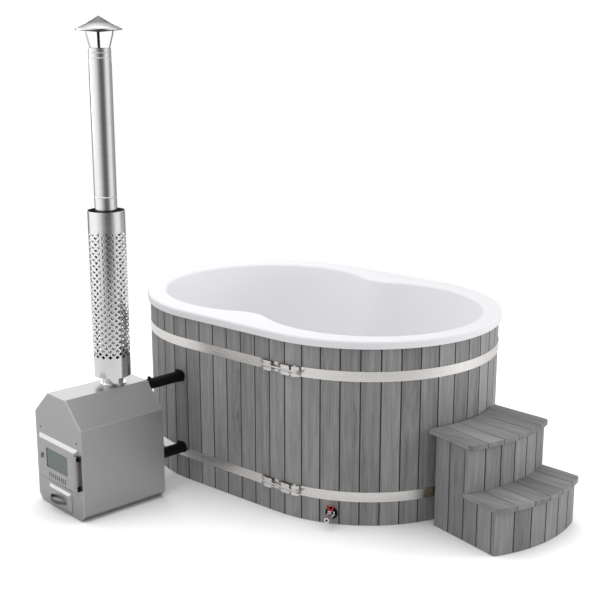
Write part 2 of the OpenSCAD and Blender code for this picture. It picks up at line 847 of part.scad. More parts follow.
// Opening under the grate
ash_side = 5;
ash_w = duct_w - 2 * ash_side;
ash_y0 = 60;
ash_end = 20;
ash_y1 = duct_back - ash_end;
spigot_d = flue_d - 2 * flue_t - 2 * fit;
spigot_lap = 12;
spigot_top = shield_z + spigot_lap;

module firebox() {
  color([0.3, 0.3, 0.31])
  difference() {
    at_stove() union() {
      block(-open_w / 2 - box_t, open_w / 2 + box_t, plate_t, box_back, open_z0 - box_t, box_top);
      block(-duct_w / 2 - box_t, duct_w / 2 + box_t, plate_t, duct_back, duct_z - box_t, open_z0 - box_t);
    }
    at_stove() {
      block(-open_w / 2, open_w / 2, plate_t - over, box_back - box_t, open_z0, box_top - box_t);
      block(-duct_w / 2, duct_w / 2, plate_t - over, duct_back - box_t, duct_z, open_z0 - box_t);
      block(-ash_w / 2, ash_w / 2, ash_y0, ash_y1, open_z0 - box_t - over, open_z0 + over);
      translate([0, flue_y, box_top - over - box_t]) cylinder(d = spigot_d - 4 * flue_t, h = 3 * over);
    }
  }
}

bar_count = 12;

module grate() {
  grate_t = 12;
  bar_pitch = (ash_y1 - ash_y0) / bar_count;
  color([0.2, 0.2, 0.2])
  at_stove() difference() {
    block(-ash_w / 2 - grate_t, ash_w / 2 + grate_t, ash_y0 - grate_t, ash_y1 + grate_t,
          open_z0, open_z0 + grate_t);
    for (i = [0 : bar_count - 1]) translate([0, ash_y0 + (i + 0.25) * bar_pitch, open_z0 - over])
      translate([-ash_w / 2, 0, 0]) cube([ash_w, bar_pitch / 2, grate_t + 2 * over]);
  }
}

module stove_casing() {
  color([0.55, 0.55, 0.56])
  at_stove() difference() {
    slab(plate_t, stove_l) polygon(stove_outline);
    slab(plate_t - over, stove_l - casing_t) polygon(inset(stove_outline, casing_t));
    translate([0, flue_y, box_top]) cylinder(d = spigot_d + 2 * fit, h = stove_h);
    for (z = [port_low_z, port_high_z])
      translate([port_side, stove_l, z]) rotate(90) rod_x(-2 * over, over, pipe_d + 2 * fit);
  }
}

screw_d = 8;
screw_t = 2;
screw_in = 12;
screw_rise = 30;
screw_z = door_z + door_h + screw_rise;

module front_plate() {
  color([0.6, 0.6, 0.61])
  at_stove() difference() {
    slab(0, plate_t) polygon(stove_outline);
    block(-open_w / 2, open_w / 2, -over, plate_t + over, open_z0, open_z1);
    block(-duct_w / 2, duct_w / 2, -over, plate_t + over, duct_z, drawer_z + drawer_h - drawer_frame);
  }
}

module plate_screws() {
  color([0.4, 0.4, 0.4])
  at_stove() for (side = [-1, 1])
    translate([side * (door_w / 2 - screw_in), 0, screw_z]) rotate(-90) rod_x(0, screw_t, screw_d);
}

port_stub = 20;

module stove_ports() {
  color([0.75, 0.76, 0.78])
  at_stove() for (z = [port_low_z, port_high_z])
    translate([port_side, stove_l, z]) rotate(90) difference() {
      union() {
        rod_x(-port_stub, nipple_l, pipe_d);
        rod_x(fit, flange_t, hose_d);
      }
      rod_x(-port_stub - over, nipple_l + over, pipe_d - 2 * pipe_t);
    }
}

// Door: a hollow pan with a bevel all round, hinged at the right
door_t = 3;
door_back = -fit;
// The axis lies in front of the door's edge, far enough out that the edge clears the plate
hinge_in = 2;
hinge_x = door_w / 2 - hinge_in;
hinge_y = -20;
block_gap = 1;
sleeve_wall = 1.5;
sleeve_d = barrel_d + 2 * sleeve_wall;
sleeve_h = 22;
door_top = door_z + door_h;
sleeve_drop = 53;
sleeve_rise = 28;
sleeve_high_z = door_top - sleeve_drop;
sleeve_low_z = door_z + sleeve_rise;
barrel_low = sleeve_low_z + sleeve_h + 2 * fit;
barrel_high = sleeve_high_z - fit;

// Solid with bevelled sides: full size at y = 0, smaller at y = -d, and reaching back to y = back
module pan(w, h, z0, d, bevel, back) {
  intersection() {
    translate([0, 0, z0]) linear_extrude(h)
      polygon([[-w / 2, back], [-w / 2, 0], [bevel - w / 2, -d],
               [w / 2 - bevel, -d], [w / 2, 0], [w / 2, back]]);
    rotate([90, 0, 90]) translate([0, 0, -w / 2]) linear_extrude(w)
      polygon([[back, z0], [0, z0], [-d, z0 + bevel], [-d, z0 + h - bevel], [0, z0 + h], [back, z0 + h]]);
  }
}

latch_in = 39;
latch_x = latch_in - door_w / 2;
latch_drop = 3;
latch_z = window_z - latch_drop;
spindle_d = 6;

module rounded_slot(w, h, r) {
  for (x = [-1, 1], z = [-1, 1]) translate([x * (w / 2 - r), z * (h / 2 - r)]) circle(r = r);
  square([w - 2 * r, h], center = true);
  square([w, h - 2 * r], center = true);
}

vent_w = 169;
vent_h = 27;
vent_drop = 36;
vent_z = window_z - window_h / 2 - vent_drop;

module door_pan() {
  slot_pitch = vent_w / slot_count;
  color([0.6, 0.6, 0.61])
  at_stove() difference() {
    translate([0, door_back, 0]) pan(door_w, door_h, door_z, door_d, door_bevel, 0);
    translate([0, door_back, 0])
      pan(door_w - 4 * door_t, door_h - 4 * door_t, door_z + 2 * door_t, door_d - door_t, door_bevel, over);
    slab(-2 * door_d, over) {
      translate([0, window_z]) rounded_slot(window_w, window_h, window_h / 12);
      for (i = [0 : slot_count - 1])
        translate([(i + 0.5) * slot_pitch - vent_w / 2, vent_z])
          rounded_slot(slot_pitch / 3, vent_h, slot_pitch / 7);
    }
    translate([latch_x, 0, latch_z]) rotate([90, 0, 0]) cylinder(d = spindle_d + 2 * run_fit, h = 2 * door_d);
  }
}

glass_y = door_back - door_d + door_t + fit;
glass_t = 4;
glass_lap = 8;

module door_glass() {
  color([0.6, 0.7, 0.68, 0.5])
  at_stove() block(-window_w / 2 - glass_lap, window_w / 2 + glass_lap, glass_y, glass_y + glass_t,
                   window_z - window_h / 2 - glass_lap, window_z + window_h / 2 + glass_lap);
}

module glass_clips() {
  clip_d = 10;
  pad_t = 1;
  back_y = glass_y + glass_t + fit;
  color([0.5, 0.5, 0.5])
  at_stove() for (x = [-1, 1], z = [-1, 1])
    translate([x * window_w / 3, 0, window_z + z * (window_h / 2 + glass_lap)])
      block(-clip_d / 2, clip_d / 2, back_y, back_y + pad_t, -clip_d / 2, clip_d / 2);
}

// Rope seal that meets the plate around the firebox opening
module door_seal() {
  seal = 8;
  color([0.25, 0.25, 0.25])
  at_stove() difference() {
    block(-open_w / 2 - seal, open_w / 2 + seal, -seal / 2, -fit, open_z0 - seal, open_z1 + seal);
    block(-open_w / 2 - fit, open_w / 2 + fit, -seal, over, open_z0 - fit, open_z1 + fit);
  }
}

module latch_knob() {
  knob_w = 7;
  knob_h = 26;
  knob_t = 7;
  front = door_back - door_d - fit;
  color([0.15, 0.15, 0.15])
  at_stove() translate([latch_x, 0, latch_z]) {
    block(-knob_w / 2, knob_w / 2, front - knob_t, front, -knob_h / 2, knob_h / 2);
    translate([0, glass_y + glass_t, 0]) rotate([90, 0, 0])
      cylinder(d = spindle_d, h = glass_y + glass_t - front);
    block(-spindle_d, spindle_d, glass_y + fit, glass_y + glass_t, -knob_w / 2, knob_w / 2);
  }
}

module at_hinge(z) {
  at_stove() translate([hinge_x, hinge_y, z]) children();
}

module hinge_sleeves() {
  color([0.7, 0.7, 0.7])
  for (z = [sleeve_low_z, sleeve_high_z]) at_hinge(z) difference() {
    cylinder(d = sleeve_d, h = sleeve_h);
    translate([0, 0, -over]) cylinder(d = pin_d + 2 * run_fit, h = sleeve_h + 2 * over);
  }
}

module hinge_blocks() {
  color([0.15, 0.15, 0.15])
  for (z = [sleeve_low_z, sleeve_high_z]) at_hinge(z) difference() {
    block(hinge_in + block_gap, stove_half - hinge_x, -sleeve_d / 4, -hinge_y, 0, sleeve_h);
    translate([0, 0, -over]) cylinder(d = sleeve_d + 2 * fit, h = sleeve_h + 2 * over);
  }
}

module hinge_pin() {
  color([0.5, 0.5, 0.5])
  at_hinge(sleeve_low_z) cylinder(d = pin_d, h = sleeve_high_z + sleeve_h - sleeve_low_z);
}

module door_barrel() {
  color([0.45, 0.45, 0.46])
  difference() {
    at_hinge(barrel_low) difference() {
      union() {
        cylinder(d = barrel_d, h = barrel_high - barrel_low);
        block(-barrel_d / 2, 0, 0, -hinge_y - fit, 0, barrel_high - barrel_low);
      }
      translate([0, 0, -over]) cylinder(d = pin_d + 2 * run_fit, h = door_h);
    }
    at_stove() translate([0, door_back, 0])
      pan(door_w + 2 * fit, door_h + 2 * fit, door_z - fit, door_d + fit, door_bevel, over);
  }
}

// Ash drawer
module ash_tray() {
  wall = 2;
  side_gap = 1.5;
  half = duct_w / 2 - side_gap;
  z0 = duct_z + fit;
  z1 = drawer_z + drawer_h - 2 * drawer_frame;
  color([0.4, 0.4, 0.41])
  at_stove() difference() {
    block(-half, half, -fit, tray_l, z0, z1);
    block(wall - half, half - wall, wall, tray_l - wall, z0 + wall, z1 + over);
  }
}

module drawer_front() {
  color([0.6, 0.6, 0.61])
  at_stove() translate([0, -fit, 0]) pan(drawer_w, drawer_h, drawer_z, drawer_d, 0.85 * door_bevel, 0);
}

// Bowed bar: an arc of a flat ring cut off at the drawer's front
module drawer_handle() {
  bar_t = 6;
  bar_h = 16;
  reach = 73;
  bow = 30;
  bow_r = (reach * reach + bow * bow) / (2 * bow);
  front = -fit - drawer_d;
  color([0.75, 0.75, 0.76])
  at_stove() translate([-0.08 * reach, front, drawer_z + 0.35 * drawer_h]) intersection() {
    translate([0, bow_r - bow, 0]) tube(2 * bow_r, bar_t, bar_h, $fn = 120);
    block(-bow_r, bow_r, -2 * bow, 0, 0, bar_h);
  }
}

// Flue
spigot_z = box_top;

module at_flue(z) {
  at_stove() translate([0, flue_y, z]) children();
}

module flue_spigot() {
  collar_w = 12;
  collar_h = 5;
  color([0.7, 0.7, 0.71])
  at_flue(0) rotate_extrude($fn = 96) {
    translate([spigot_d / 2 - 2 * flue_t, spigot_z]) square([2 * flue_t, spigot_top - spigot_z]);
    // Roof collar
    translate([spigot_d / 2 - flue_t, stove_h + fit]) square([collar_w, collar_h]);
  }
}

bead_r = 3;

// A length of pipe with a reduced tail at its lower end and raised beads
module flue_length(z0, z1, tail, beads) {
  r = flue_d / 2;
  at_flue(0) rotate_extrude($fn = 96) {
    translate([r - flue_t, z0]) square([flue_t, z1 - z0]);
    if (tail > 0) {
      translate([r - 2 * flue_t - fit, z0 - tail]) square([flue_t, tail + 2 * flue_t]);
      translate([r - 2 * flue_t - fit, z0]) square([2 * flue_t, flue_t]);
    }
    for (z = beads) translate([r - flue_t / 4, z]) circle(r = bead_r, $fn = 24);
  }
}

flue_foot = 6;
joint_bead = 8;
bead_inset = 20;
bead_step = 24;

module flue_lower() {
  color([0.75, 0.75, 0.76])
  flue_length(shield_z - flue_foot, flue_joint - fit, 0, []);
}

module flue_upper() {
  color([0.75, 0.75, 0.76])
  difference() {
    flue_length(flue_joint, flue_top - flue_tail - fit, flue_d / 3, [flue_joint + joint_bead]);
    at_flue(0) cylinder(d = flue_d - 4 * flue_t - 2 * fit, h = 2 * flue_top);
  }
}

module flue_end() {
  color([0.75, 0.75, 0.76])
  difference() {
    flue_length(flue_top - flue_tail, flue_top, flue_d / 3,
                [flue_top - bead_inset - bead_step, flue_top - bead_inset]);
    at_flue(0) cylinder(d = flue_d - 4 * flue_t - 2 * fit, h = 2 * flue_top);
  }
}

// Heat shield with alternating rows of square openings turned on their points
shield_t = 1;

module heat_shield() {
  row_h = lattice_h / (shield_rows + 1);
  half = 0.57 * row_h;
  first = shield_z + (shield_l - lattice_h) / 2 + row_h;
  color([0.78, 0.78, 0.79])
  at_flue(0) difference() {
    translate([0, 0, shield_z]) tube(shield_d, shield_t, shield_l, $fn = 96);
    for (row = [0 : shield_rows - 1], col = [0 : shield_cols - 1])
      rotate([0, 0, (col + (row % 2) / 2) * 360 / shield_cols])
      translate([shield_d / 2 - 3 * shield_t, 0, first + row * row_h])
      rotate([0, 90, 0]) linear_extrude(6 * shield_t)
        polygon([[-half, 0], [0, half], [half, 0], [0, -half]]);
  }
}

// U-shaped spacers between the pipe and the shield
module shield_spacers() {
  inner = flue_d / 2 + fit;
  outer = shield_d / 2 - shield_t - fit;
  spacer_w = 10;
  spacer_t = 1.5;
  color([0.5, 0.5, 0.5])
  for (z = [shield_z + spacer_w, shield_z + shield_l - 3 * spacer_w], i = [0 : 2])
    at_flue(z) rotate(60 + i * 120) translate([inner, -spacer_w / 2, 0]) difference() {
      cube([outer - inner, spacer_w, spacer_w]);
      translate([spacer_t, -over, spacer_t])
        cube([outer - inner - 2 * spacer_t, spacer_w + 2 * over, spacer_w]);
    }
}

strap_w = 13;
strap_t = 2;
cap_r = cap_d / 2;
cap_lip = 8;
dish_h = 10;
brim_z = flue_top + cap_gap;

// Strap: up inside the pipe, then bent outward and upright again to the cap's lower dish
module cap_straps() {
  foot_l = 60;
  bend_gap = 4;
  foot_r = flue_d / 2 - 2 * flue_t - 2 * fit - strap_t - strap_w / 16;
  head_r = cap_r * 0.64;
  head_z = brim_z - cap_lip - dish_h * (1 - head_r / cap_r) - fit;
  bend = head_r - foot_r;
  inner = [[foot_r, flue_top - foot_l], [foot_r, flue_top - bend_gap],
           [foot_r + 0.55 * bend, flue_top + 0.42 * cap_gap],
           [foot_r + 0.87 * bend, flue_top + 0.7 * cap_gap],
           [head_r, head_z]];
  back = [for (i = [len(inner) - 1 : -1 : 0]) inner[i] + [strap_t, 0]];
  color([0.6, 0.6, 0.6])
  at_flue(0) for (i = [0 : 2]) rotate(i * 120 + 30) rotate([90, 0, 0])
    linear_extrude(strap_w, center = true) polygon(concat(inner, back));
}

// Cone with a lip all round and a shallow dish under it, open for drips in its middle
module rain_cap() {
  sheet = 1.5;
  drip_r = 5;
  color([0.75, 0.75, 0.76])
  at_flue(brim_z) rotate_extrude($fn = 96)
    polygon([[0, cap_h], [cap_r, 0], [cap_r, -cap_lip], [drip_r, -cap_lip - dish_h],
             [drip_r, sheet - cap_lip - dish_h], [cap_r - sheet, sheet - cap_lip],
             [cap_r - sheet, -sheet / 2], [0, cap_h - 1.2 * sheet]]);
}

// Steps: frame with X away from the tub
board_cut = 1.2;
side_t = 20;
tread_lap = 6;
corner_r = 26;
side_run = 270;
tub_gap = 13;
rail_gap = 10;

module at_steps(z = 0) {
  translate([half_l, 0, z]) rotate(step_turn) translate([0, step_shift, 0]) children();
}

function step_width(x) = step_half + tan(step_fan) * (x - step_back);
step_back = step_reach - side_run;
riser_in_x = step_reach - riser_high_r;
riser_out_x = step_reach + step_going - riser_low_r;
tread_back = end_r + band_t + tub_gap;

// Plan shapes: fan of boards, disc of a riser's curve, and the tub's clearance circle
module fan(k, grow) {
  x0 = step_back / 2;
  x1 = 2 * step_reach;
  function edge(i, x) = (2 * i / step_boards - 1) * (step_width(x) + grow);
  cut = board_cut / 2;
  polygon([[x0, edge(k, x0) + cut], [x1, edge(k, x1) + cut],
           [x1, edge(k + 1, x1) - cut], [x0, edge(k + 1, x0) - cut]]);
}

module disc(x, r) translate([x, 0]) circle(r = r, $fn = 240);

module riser(z0, z1, x, r) {
  color([0.47, 0.47, 0.48])
  at_steps(z0) for (k = [0 : step_boards - 1]) linear_extrude(z1 - z0) intersection() {
    fan(k, 0);
    difference() {
      disc(x, r);
      disc(x, r - side_t);
    }
  }
}

module riser_lower() riser(0, step_rise - tread_t, riser_out_x, riser_low_r);
module riser_upper() riser(step_rise, 2 * step_rise - tread_t, riser_in_x, riser_high_r);

// What a round corner leaves over between a tread's side and its front arc
module corner_cut(x, front_r, side) {
  r = corner_r;
  u = [cos(step_fan), sin(step_fan)];
  n = [-sin(step_fan), cos(step_fan)];
  foot = [step_back - x, step_half + tread_lap / cos(step_fan)] - r * n;
  t = -foot * u + sqrt(pow(foot * u, 2) - foot * foot + pow(front_r - r, 2));
  centre = foot + t * u;
  far = centre + r * n + 3 * r * u;
  tip = front_r / norm(centre) * centre;
  translate([x, 0]) scale([1, side]) difference() {
    polygon([centre, centre + r * n, centre + 2 * r * n, far + 2 * r * n, far, 1.5 * tip, tip]);
    translate(centre) circle(r = r);
  }
}

// Boards between the front arc and a back circle about [back_x, back_y]
module tread(z, x, front_r, back_x, back_y, back_r) {
  color([0.5, 0.5, 0.51])
  at_steps(z - tread_t) for (k = [0 : step_boards - 1]) linear_extrude(tread_t) difference() {
    intersection() {
      fan(k, tread_lap);
      disc(x, front_r);
    }
    translate([back_x, back_y]) circle(r = back_r, $fn = 240);
    if (k == 0) corner_cut(x, front_r, -1);
    if (k == step_boards - 1) corner_cut(x, front_r, 1);
  }
}

module tread_lower()
  tread(step_rise, riser_out_x, riser_low_r + nosing, riser_in_x, 0, riser_high_r - side_t);
module tread_upper()
  tread(2 * step_rise, riser_in_x, riser_high_r + nosing, 0, -step_shift, tread_back);

// Side boards, two under each tread on both sides, ending at the back of the risers
function arc_at(x, r, y) = x + sqrt(r * r - y * y);
side_end_in = arc_at(riser_in_x, riser_high_r - side_t, step_half + side_t);
side_end_out = arc_at(riser_out_x, riser_low_r - side_t, step_half + 2 * side_t);

module side_board(x0, x1, h, stop_x, stop_r) {
  for (side = [-1, 1]) linear_extrude(h) intersection() {
    translate([x0 + board_cut / 2, side * step_width(x0)]) rotate(side * step_fan)
    translate([0, side > 0 ? -side_t : 0]) square([x1 - x0 - board_cut, side_t]);
    disc(stop_x, stop_r - side_t - board_cut);
  }
}

module step_sides() {
  mid_in = (step_back + side_end_in) / 2;
  mid_out = (side_end_in + side_end_out) / 2;
  high = 2 * step_rise - tread_t;
  low = step_rise - tread_t;
  color([0.42, 0.42, 0.43])
  at_steps() {
    side_board(step_back, mid_in, high, riser_in_x, riser_high_r);
    side_board(mid_in, side_end_in + side_t, high, riser_in_x, riser_high_r);
    side_board(side_end_in + side_t, mid_out, low, riser_out_x, riser_low_r);
    side_board(mid_out, side_end_out + side_t, low, riser_out_x, riser_low_r);
  }
}

// Two posts and the rail on them that carries the tread
module step_trestle(x, h) {
  function inner(x) = step_width(x) - side_t / cos(step_fan) - fit;
  for (side = [-1, 1])
    translate([x, side * inner(x), 0]) rotate(side * step_fan)
    translate([0, side > 0 ? -post_w : 0, 0]) cube([post_w, post_w, h - post_w]);
  translate([0, 0, h - post_w]) linear_extrude(post_w)
    polygon([[x, -inner(x)], [x + post_w, -inner(x + post_w)],
             [x + post_w, inner(x + post_w)], [x, inner(x)]]);
}

module step_posts() {
  color([0.62, 0.5, 0.36])
  at_steps() {
    step_trestle(step_back, 2 * step_rise - tread_t);
    step_trestle(side_end_in - post_w - rail_gap, 2 * step_rise - tread_t);
    step_trestle(side_end_out - post_w - rail_gap, step_rise - tread_t);
  }
}

bearers();
deck();
frame_hoops();
frame_posts();
wall_boards_left();
wall_boards_front();
wall_boards_right();
wall_boards_back();
liner();
band_upper();
band_lower();
clamp_brackets();
clamp_rods();
clamp_nuts();
band_rivets();
drain_rosette();
drain_valve();
drain_pipe();
drain_strainer();
valve_ball();
valve_handle();
tub_ports();
port_pipes();
port_grilles();
hose_upper();
hose_lower();
hose_clips();
stove_casing();
front_plate();
firebox();
grate();
stove_ports();
plate_screws();
hinge_blocks();
hinge_sleeves();
hinge_pin();
door_pan();
door_barrel();
door_glass();
glass_clips();
door_seal();
latch_knob();
ash_tray();
drawer_front();
drawer_handle();
flue_spigot();
flue_lower();
flue_upper();
flue_end();
heat_shield();
shield_spacers();
cap_straps();
rain_cap();
step_posts();
step_sides();
riser_lower();
riser_upper();
tread_lower();
tread_upper();
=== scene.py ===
import json
import math
import bmesh
import bpy
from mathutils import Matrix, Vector


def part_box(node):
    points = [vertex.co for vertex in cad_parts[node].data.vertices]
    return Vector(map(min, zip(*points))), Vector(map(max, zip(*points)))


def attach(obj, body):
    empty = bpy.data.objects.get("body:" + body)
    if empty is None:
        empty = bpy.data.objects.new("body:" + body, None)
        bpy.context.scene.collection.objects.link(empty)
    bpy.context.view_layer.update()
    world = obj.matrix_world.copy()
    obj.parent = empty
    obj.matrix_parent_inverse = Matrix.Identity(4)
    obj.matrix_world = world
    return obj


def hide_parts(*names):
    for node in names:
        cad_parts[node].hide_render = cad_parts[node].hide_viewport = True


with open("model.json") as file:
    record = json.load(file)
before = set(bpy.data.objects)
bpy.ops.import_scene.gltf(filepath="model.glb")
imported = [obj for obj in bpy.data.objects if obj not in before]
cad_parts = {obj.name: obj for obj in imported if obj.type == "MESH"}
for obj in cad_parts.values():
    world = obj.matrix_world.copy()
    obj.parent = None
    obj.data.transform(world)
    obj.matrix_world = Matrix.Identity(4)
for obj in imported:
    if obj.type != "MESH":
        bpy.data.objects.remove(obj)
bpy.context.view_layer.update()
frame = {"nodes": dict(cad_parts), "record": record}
nodes = frame["nodes"]
scene = bpy.context.scene

# Camera
# A long lens from the front right, a little above the rim, as the tub is pictured.
# The turn and the downward tilt are the ones at which the boards' joints line up.
camera_place = Vector((3.881, -4.629, 2.395))
camera_turn = math.radians(40.946)
camera_tilt = math.radians(13.816)
sensor_width = 36.0
focal_pixels = 1141.1
picture_width = 600.0
view_end = 100.0
lens = bpy.data.cameras.new("picture_lens")
lens.sensor_width = sensor_width
lens.lens = focal_pixels * sensor_width / picture_width
lens.clip_end = view_end
camera = bpy.data.objects.new("picture_camera", lens)
camera.location = camera_place
camera.rotation_euler = (math.pi / 2 - camera_tilt, 0.0, camera_turn)
scene.collection.objects.link(camera)
scene.camera = camera
scene.view_settings.view_transform = "Standard"

# Lamps
# One broad soft panel overhead and smaller ones on the left, on the right and behind, at
# a level at which the white liner keeps its shading. Steel doesn't mirror the right one.
key_power = 66.0
left_power = 26.0
right_power = 75.0
rear_power = 50.0


def panel(name, place, target, size, power):
    light = bpy.data.lights.new(name, "AREA")
    light.shape = "RECTANGLE"
    light.size = size[0]
    light.size_y = size[1]
    light.energy = power
    lamp = bpy.data.objects.new(name, light)
    lamp.location = place
    lamp.rotation_euler = (Vector(target) - Vector(place)).to_track_quat("-Z", "Y").to_euler()
    scene.collection.objects.link(lamp)
    return lamp


panel("overhead_panel", (-0.3, -0.8, 4.6), (0, 0, 0), (3.6, 3.2), key_power)
panel("left_panel", (-4.6, -3.4, 2.6), (-0.2, -0.4, 0.5), (2.6, 2.6), left_power)
right_lamp = panel("right_panel", (4.6, 2.6, 2.0), (0.4, 0, 0.4), (2.2, 2.2), right_power)
panel("rear_panel", (-4.7, 2.5, 2.9), (-0.2, -0.4, 0.7), (4.4, 2.0), rear_power)
right_lamp.visible_glossy = False

# Room
# What steel mirrors: walls that are white in front and on the left and darker elsewhere,
# which fade upwards into a ceiling that is lighter on the left. Everything else is lit by
# even white air, and the camera sees plain white.
air_level = 0.72
mirror_level = 1.12
ceiling_heights = (0.30, 0.75)
ceiling_sides = (-0.25, 0.20)
ceiling_tones = (0.34, 0.92)
# Tones round the room, from the far left past the front and the right to the back
wall_tones = [(0.0, 0.26), (0.03, 0.75), (0.06, 1.0), (0.19, 1.0), (0.27, 0.72), (0.34, 0.30),
              (0.39, 0.11), (0.455, 0.11), (0.50, 0.36), (0.55, 0.80), (0.62, 0.82), (0.67, 0.42),
              (0.78, 0.30), (0.88, 0.22), (0.97, 0.18), (1.0, 0.26)]


def math_node(tree, kind, a, b):
    """Two sockets or numbers put together by one operation."""
    node = tree.nodes.new("ShaderNodeMath")
    node.operation = kind
    for socket, value in zip(node.inputs, (a, b)):
        if isinstance(value, (int, float)):
            socket.default_value = value
        else:
            tree.links.new(value, socket)
    return node.outputs[0]


def map_range(tree, value, start, end=(0.0, 1.0), smooth=False):
    """Turns one range of values into another and holds it at both ends."""
    node = tree.nodes.new("ShaderNodeMapRange")
    if smooth:
        node.interpolation_type = "SMOOTHSTEP"
    node.inputs["From Min"].default_value = start[0]
    node.inputs["From Max"].default_value = start[1]
    node.inputs["To Min"].default_value = end[0]
    node.inputs["To Max"].default_value = end[1]
    tree.links.new(value, node.inputs["Value"])
    return node.outputs["Result"]


room = bpy.data.worlds.new("studio_room")
room.use_nodes = True
scene.world = room
room_tree = room.node_tree
room_nodes = room_tree.nodes
room_links = room_tree.links
room_nodes.clear()
room_place = room_nodes.new("ShaderNodeTexCoord")
room_split = room_nodes.new("ShaderNodeSeparateXYZ")
room_links.new(room_place.outputs["Generated"], room_split.inputs[0])
room_angle = math_node(room_tree, "ARCTAN2", room_split.outputs["Y"], room_split.outputs["X"])
room_walls = room_nodes.new("ShaderNodeValToRGB")
room_walls.color_ramp.interpolation = "EASE"
for turn_share, tone in wall_tones[1:-1]:
    room_walls.color_ramp.elements.new(turn_share)
for stop, (turn_share, tone) in zip(room_walls.color_ramp.elements, wall_tones):
    stop.color = (tone, tone, tone, 1)
room_links.new(map_range(room_tree, room_angle, (-math.pi, math.pi)), room_walls.inputs["Fac"])
room_leftness = room_nodes.new("ShaderNodeVectorMath")
room_leftness.operation = "DOT_PRODUCT"
room_leftness.inputs[1].default_value = (-math.cos(camera_turn), -math.sin(camera_turn), 0)
room_links.new(room_place.outputs["Generated"], room_leftness.inputs[0])
room_ceiling = map_range(room_tree, room_leftness.outputs["Value"], ceiling_sides, ceiling_tones)
room_high = room_nodes.new("ShaderNodeMix")
room_high.data_type = "RGBA"
room_rise = map_range(room_tree, room_split.outputs["Z"], ceiling_heights, smooth=True)
room_links.new(room_rise, room_high.inputs["Factor"])
room_links.new(room_walls.outputs["Color"], room_high.inputs["A"])
room_links.new(room_ceiling, room_high.inputs["B"])
room_air = room_nodes.new("ShaderNodeBackground")
room_air.inputs["Color"].default_value = (1, 1, 1, 1)
room_air.inputs["Strength"].default_value = air_level
room_mirror = room_nodes.new("ShaderNodeBackground")
room_mirror.inputs["Strength"].default_value = mirror_level
room_links.new(room_high.outputs["Result"], room_mirror.inputs["Color"])
room_white = room_nodes.new("ShaderNodeBackground")
room_white.inputs["Color"].default_value = (1, 1, 1, 1)
room_path = room_nodes.new("ShaderNodeLightPath")
room_shine = room_nodes.new("ShaderNodeMixShader")
room_links.new(room_path.outputs["Is Glossy Ray"], room_shine.inputs["Fac"])
room_links.new(room_air.outputs[0], room_shine.inputs[1])
room_links.new(room_mirror.outputs[0], room_shine.inputs[2])
room_seen = math_node(room_tree, "MAXIMUM", room_path.outputs["Is Camera Ray"],
                      room_path.outputs["Is Transmission Ray"])
room_pick = room_nodes.new("ShaderNodeMixShader")
room_links.new(room_seen, room_pick.inputs["Fac"])
room_links.new(room_shine.outputs[0], room_pick.inputs[1])
room_links.new(room_white.outputs[0], room_pick.inputs[2])
room_out = room_nodes.new("ShaderNodeOutputWorld")
room_links.new(room_pick.outputs[0], room_out.inputs["Surface"])

# Floor
# A white painted floor. Near the tub it is lit and shadowed by the lamps, and a glow that only
# the camera sees lifts it to white but fades out where the tub and stove hem it in, which paints
# a darker soft contact shadow over the real one. Further out it goes over into plain white.
floor_reach = 5.2
floor_sides = 96
floor_tone = 0.80
floor_glow_most = 0.42
shadow_reach = 0.8
shadow_samples = 12
shadow_range = (0.22, 0.92)
fade_range = (2.2, 4.6)
floor_turns = [2 * math.pi * i / floor_sides for i in range(floor_sides)]
floor_corners = [(floor_reach * math.cos(a), floor_reach * math.sin(a), 0) for a in floor_turns]
floor_mesh = bpy.data.meshes.new("white_floor")
floor_mesh.from_pydata(floor_corners, [], [list(range(floor_sides))])
floor = bpy.data.objects.new("white_floor", floor_mesh)
scene.collection.objects.link(floor)
floor_paint = bpy.data.materials.new("white_floor")
floor_paint.use_nodes = True
floor_tree = floor_paint.node_tree
floor_nodes = floor_tree.nodes
floor_links = floor_tree.links
floor_nodes.clear()
floor_matt = floor_nodes.new("ShaderNodeBsdfDiffuse")
floor_matt.inputs["Color"].default_value = (floor_tone, floor_tone, floor_tone, 1)
floor_seen = floor_nodes.new("ShaderNodeLightPath").outputs["Is Camera Ray"]
# Painted shadow: the occlusion takes the camera's glow away close to the tub and stove
painted_shadow_occlusion = floor_nodes.new("ShaderNodeAmbientOcclusion")
painted_shadow_occlusion.samples = shadow_samples
painted_shadow_occlusion.inputs["Distance"].default_value = shadow_reach
painted_shadow_lift = map_range(floor_tree, painted_shadow_occlusion.outputs["AO"], shadow_range, (0.0, floor_glow_most), True)
floor_glow = floor_nodes.new("ShaderNodeEmission")
floor_glow.inputs["Color"].default_value = (1, 1, 1, 1)
floor_links.new(math_node(floor_tree, "MULTIPLY", floor_seen, painted_shadow_lift), floor_glow.inputs["Strength"])
floor_near = floor_nodes.new("ShaderNodeAddShader")
floor_links.new(floor_matt.outputs[0], floor_near.inputs[0])
floor_links.new(floor_glow.outputs[0], floor_near.inputs[1])
floor_far = floor_nodes.new("ShaderNodeEmission")
floor_far.inputs["Color"].default_value = (1, 1, 1, 1)
floor_place = floor_nodes.new("ShaderNodeTexCoord")
floor_length = floor_nodes.new("ShaderNodeVectorMath")
floor_length.operation = "LENGTH"
floor_links.new(floor_place.outputs["Object"], floor_length.inputs[0])
floor_fade = map_range(floor_tree, floor_length.outputs["Value"], fade_range, smooth=True)
floor_mix = floor_nodes.new("ShaderNodeMixShader")
floor_links.new(math_node(floor_tree, "MULTIPLY", floor_fade, floor_seen), floor_mix.inputs["Fac"])
floor_links.new(floor_near.outputs[0], floor_mix.inputs[1])
floor_links.new(floor_far.outputs[0], floor_mix.inputs[2])
floor_out = floor_nodes.new("ShaderNodeOutputMaterial")
floor_links.new(floor_mix.outputs[0], floor_out.inputs["Surface"])
floor_mesh.materials.append(floor_paint)
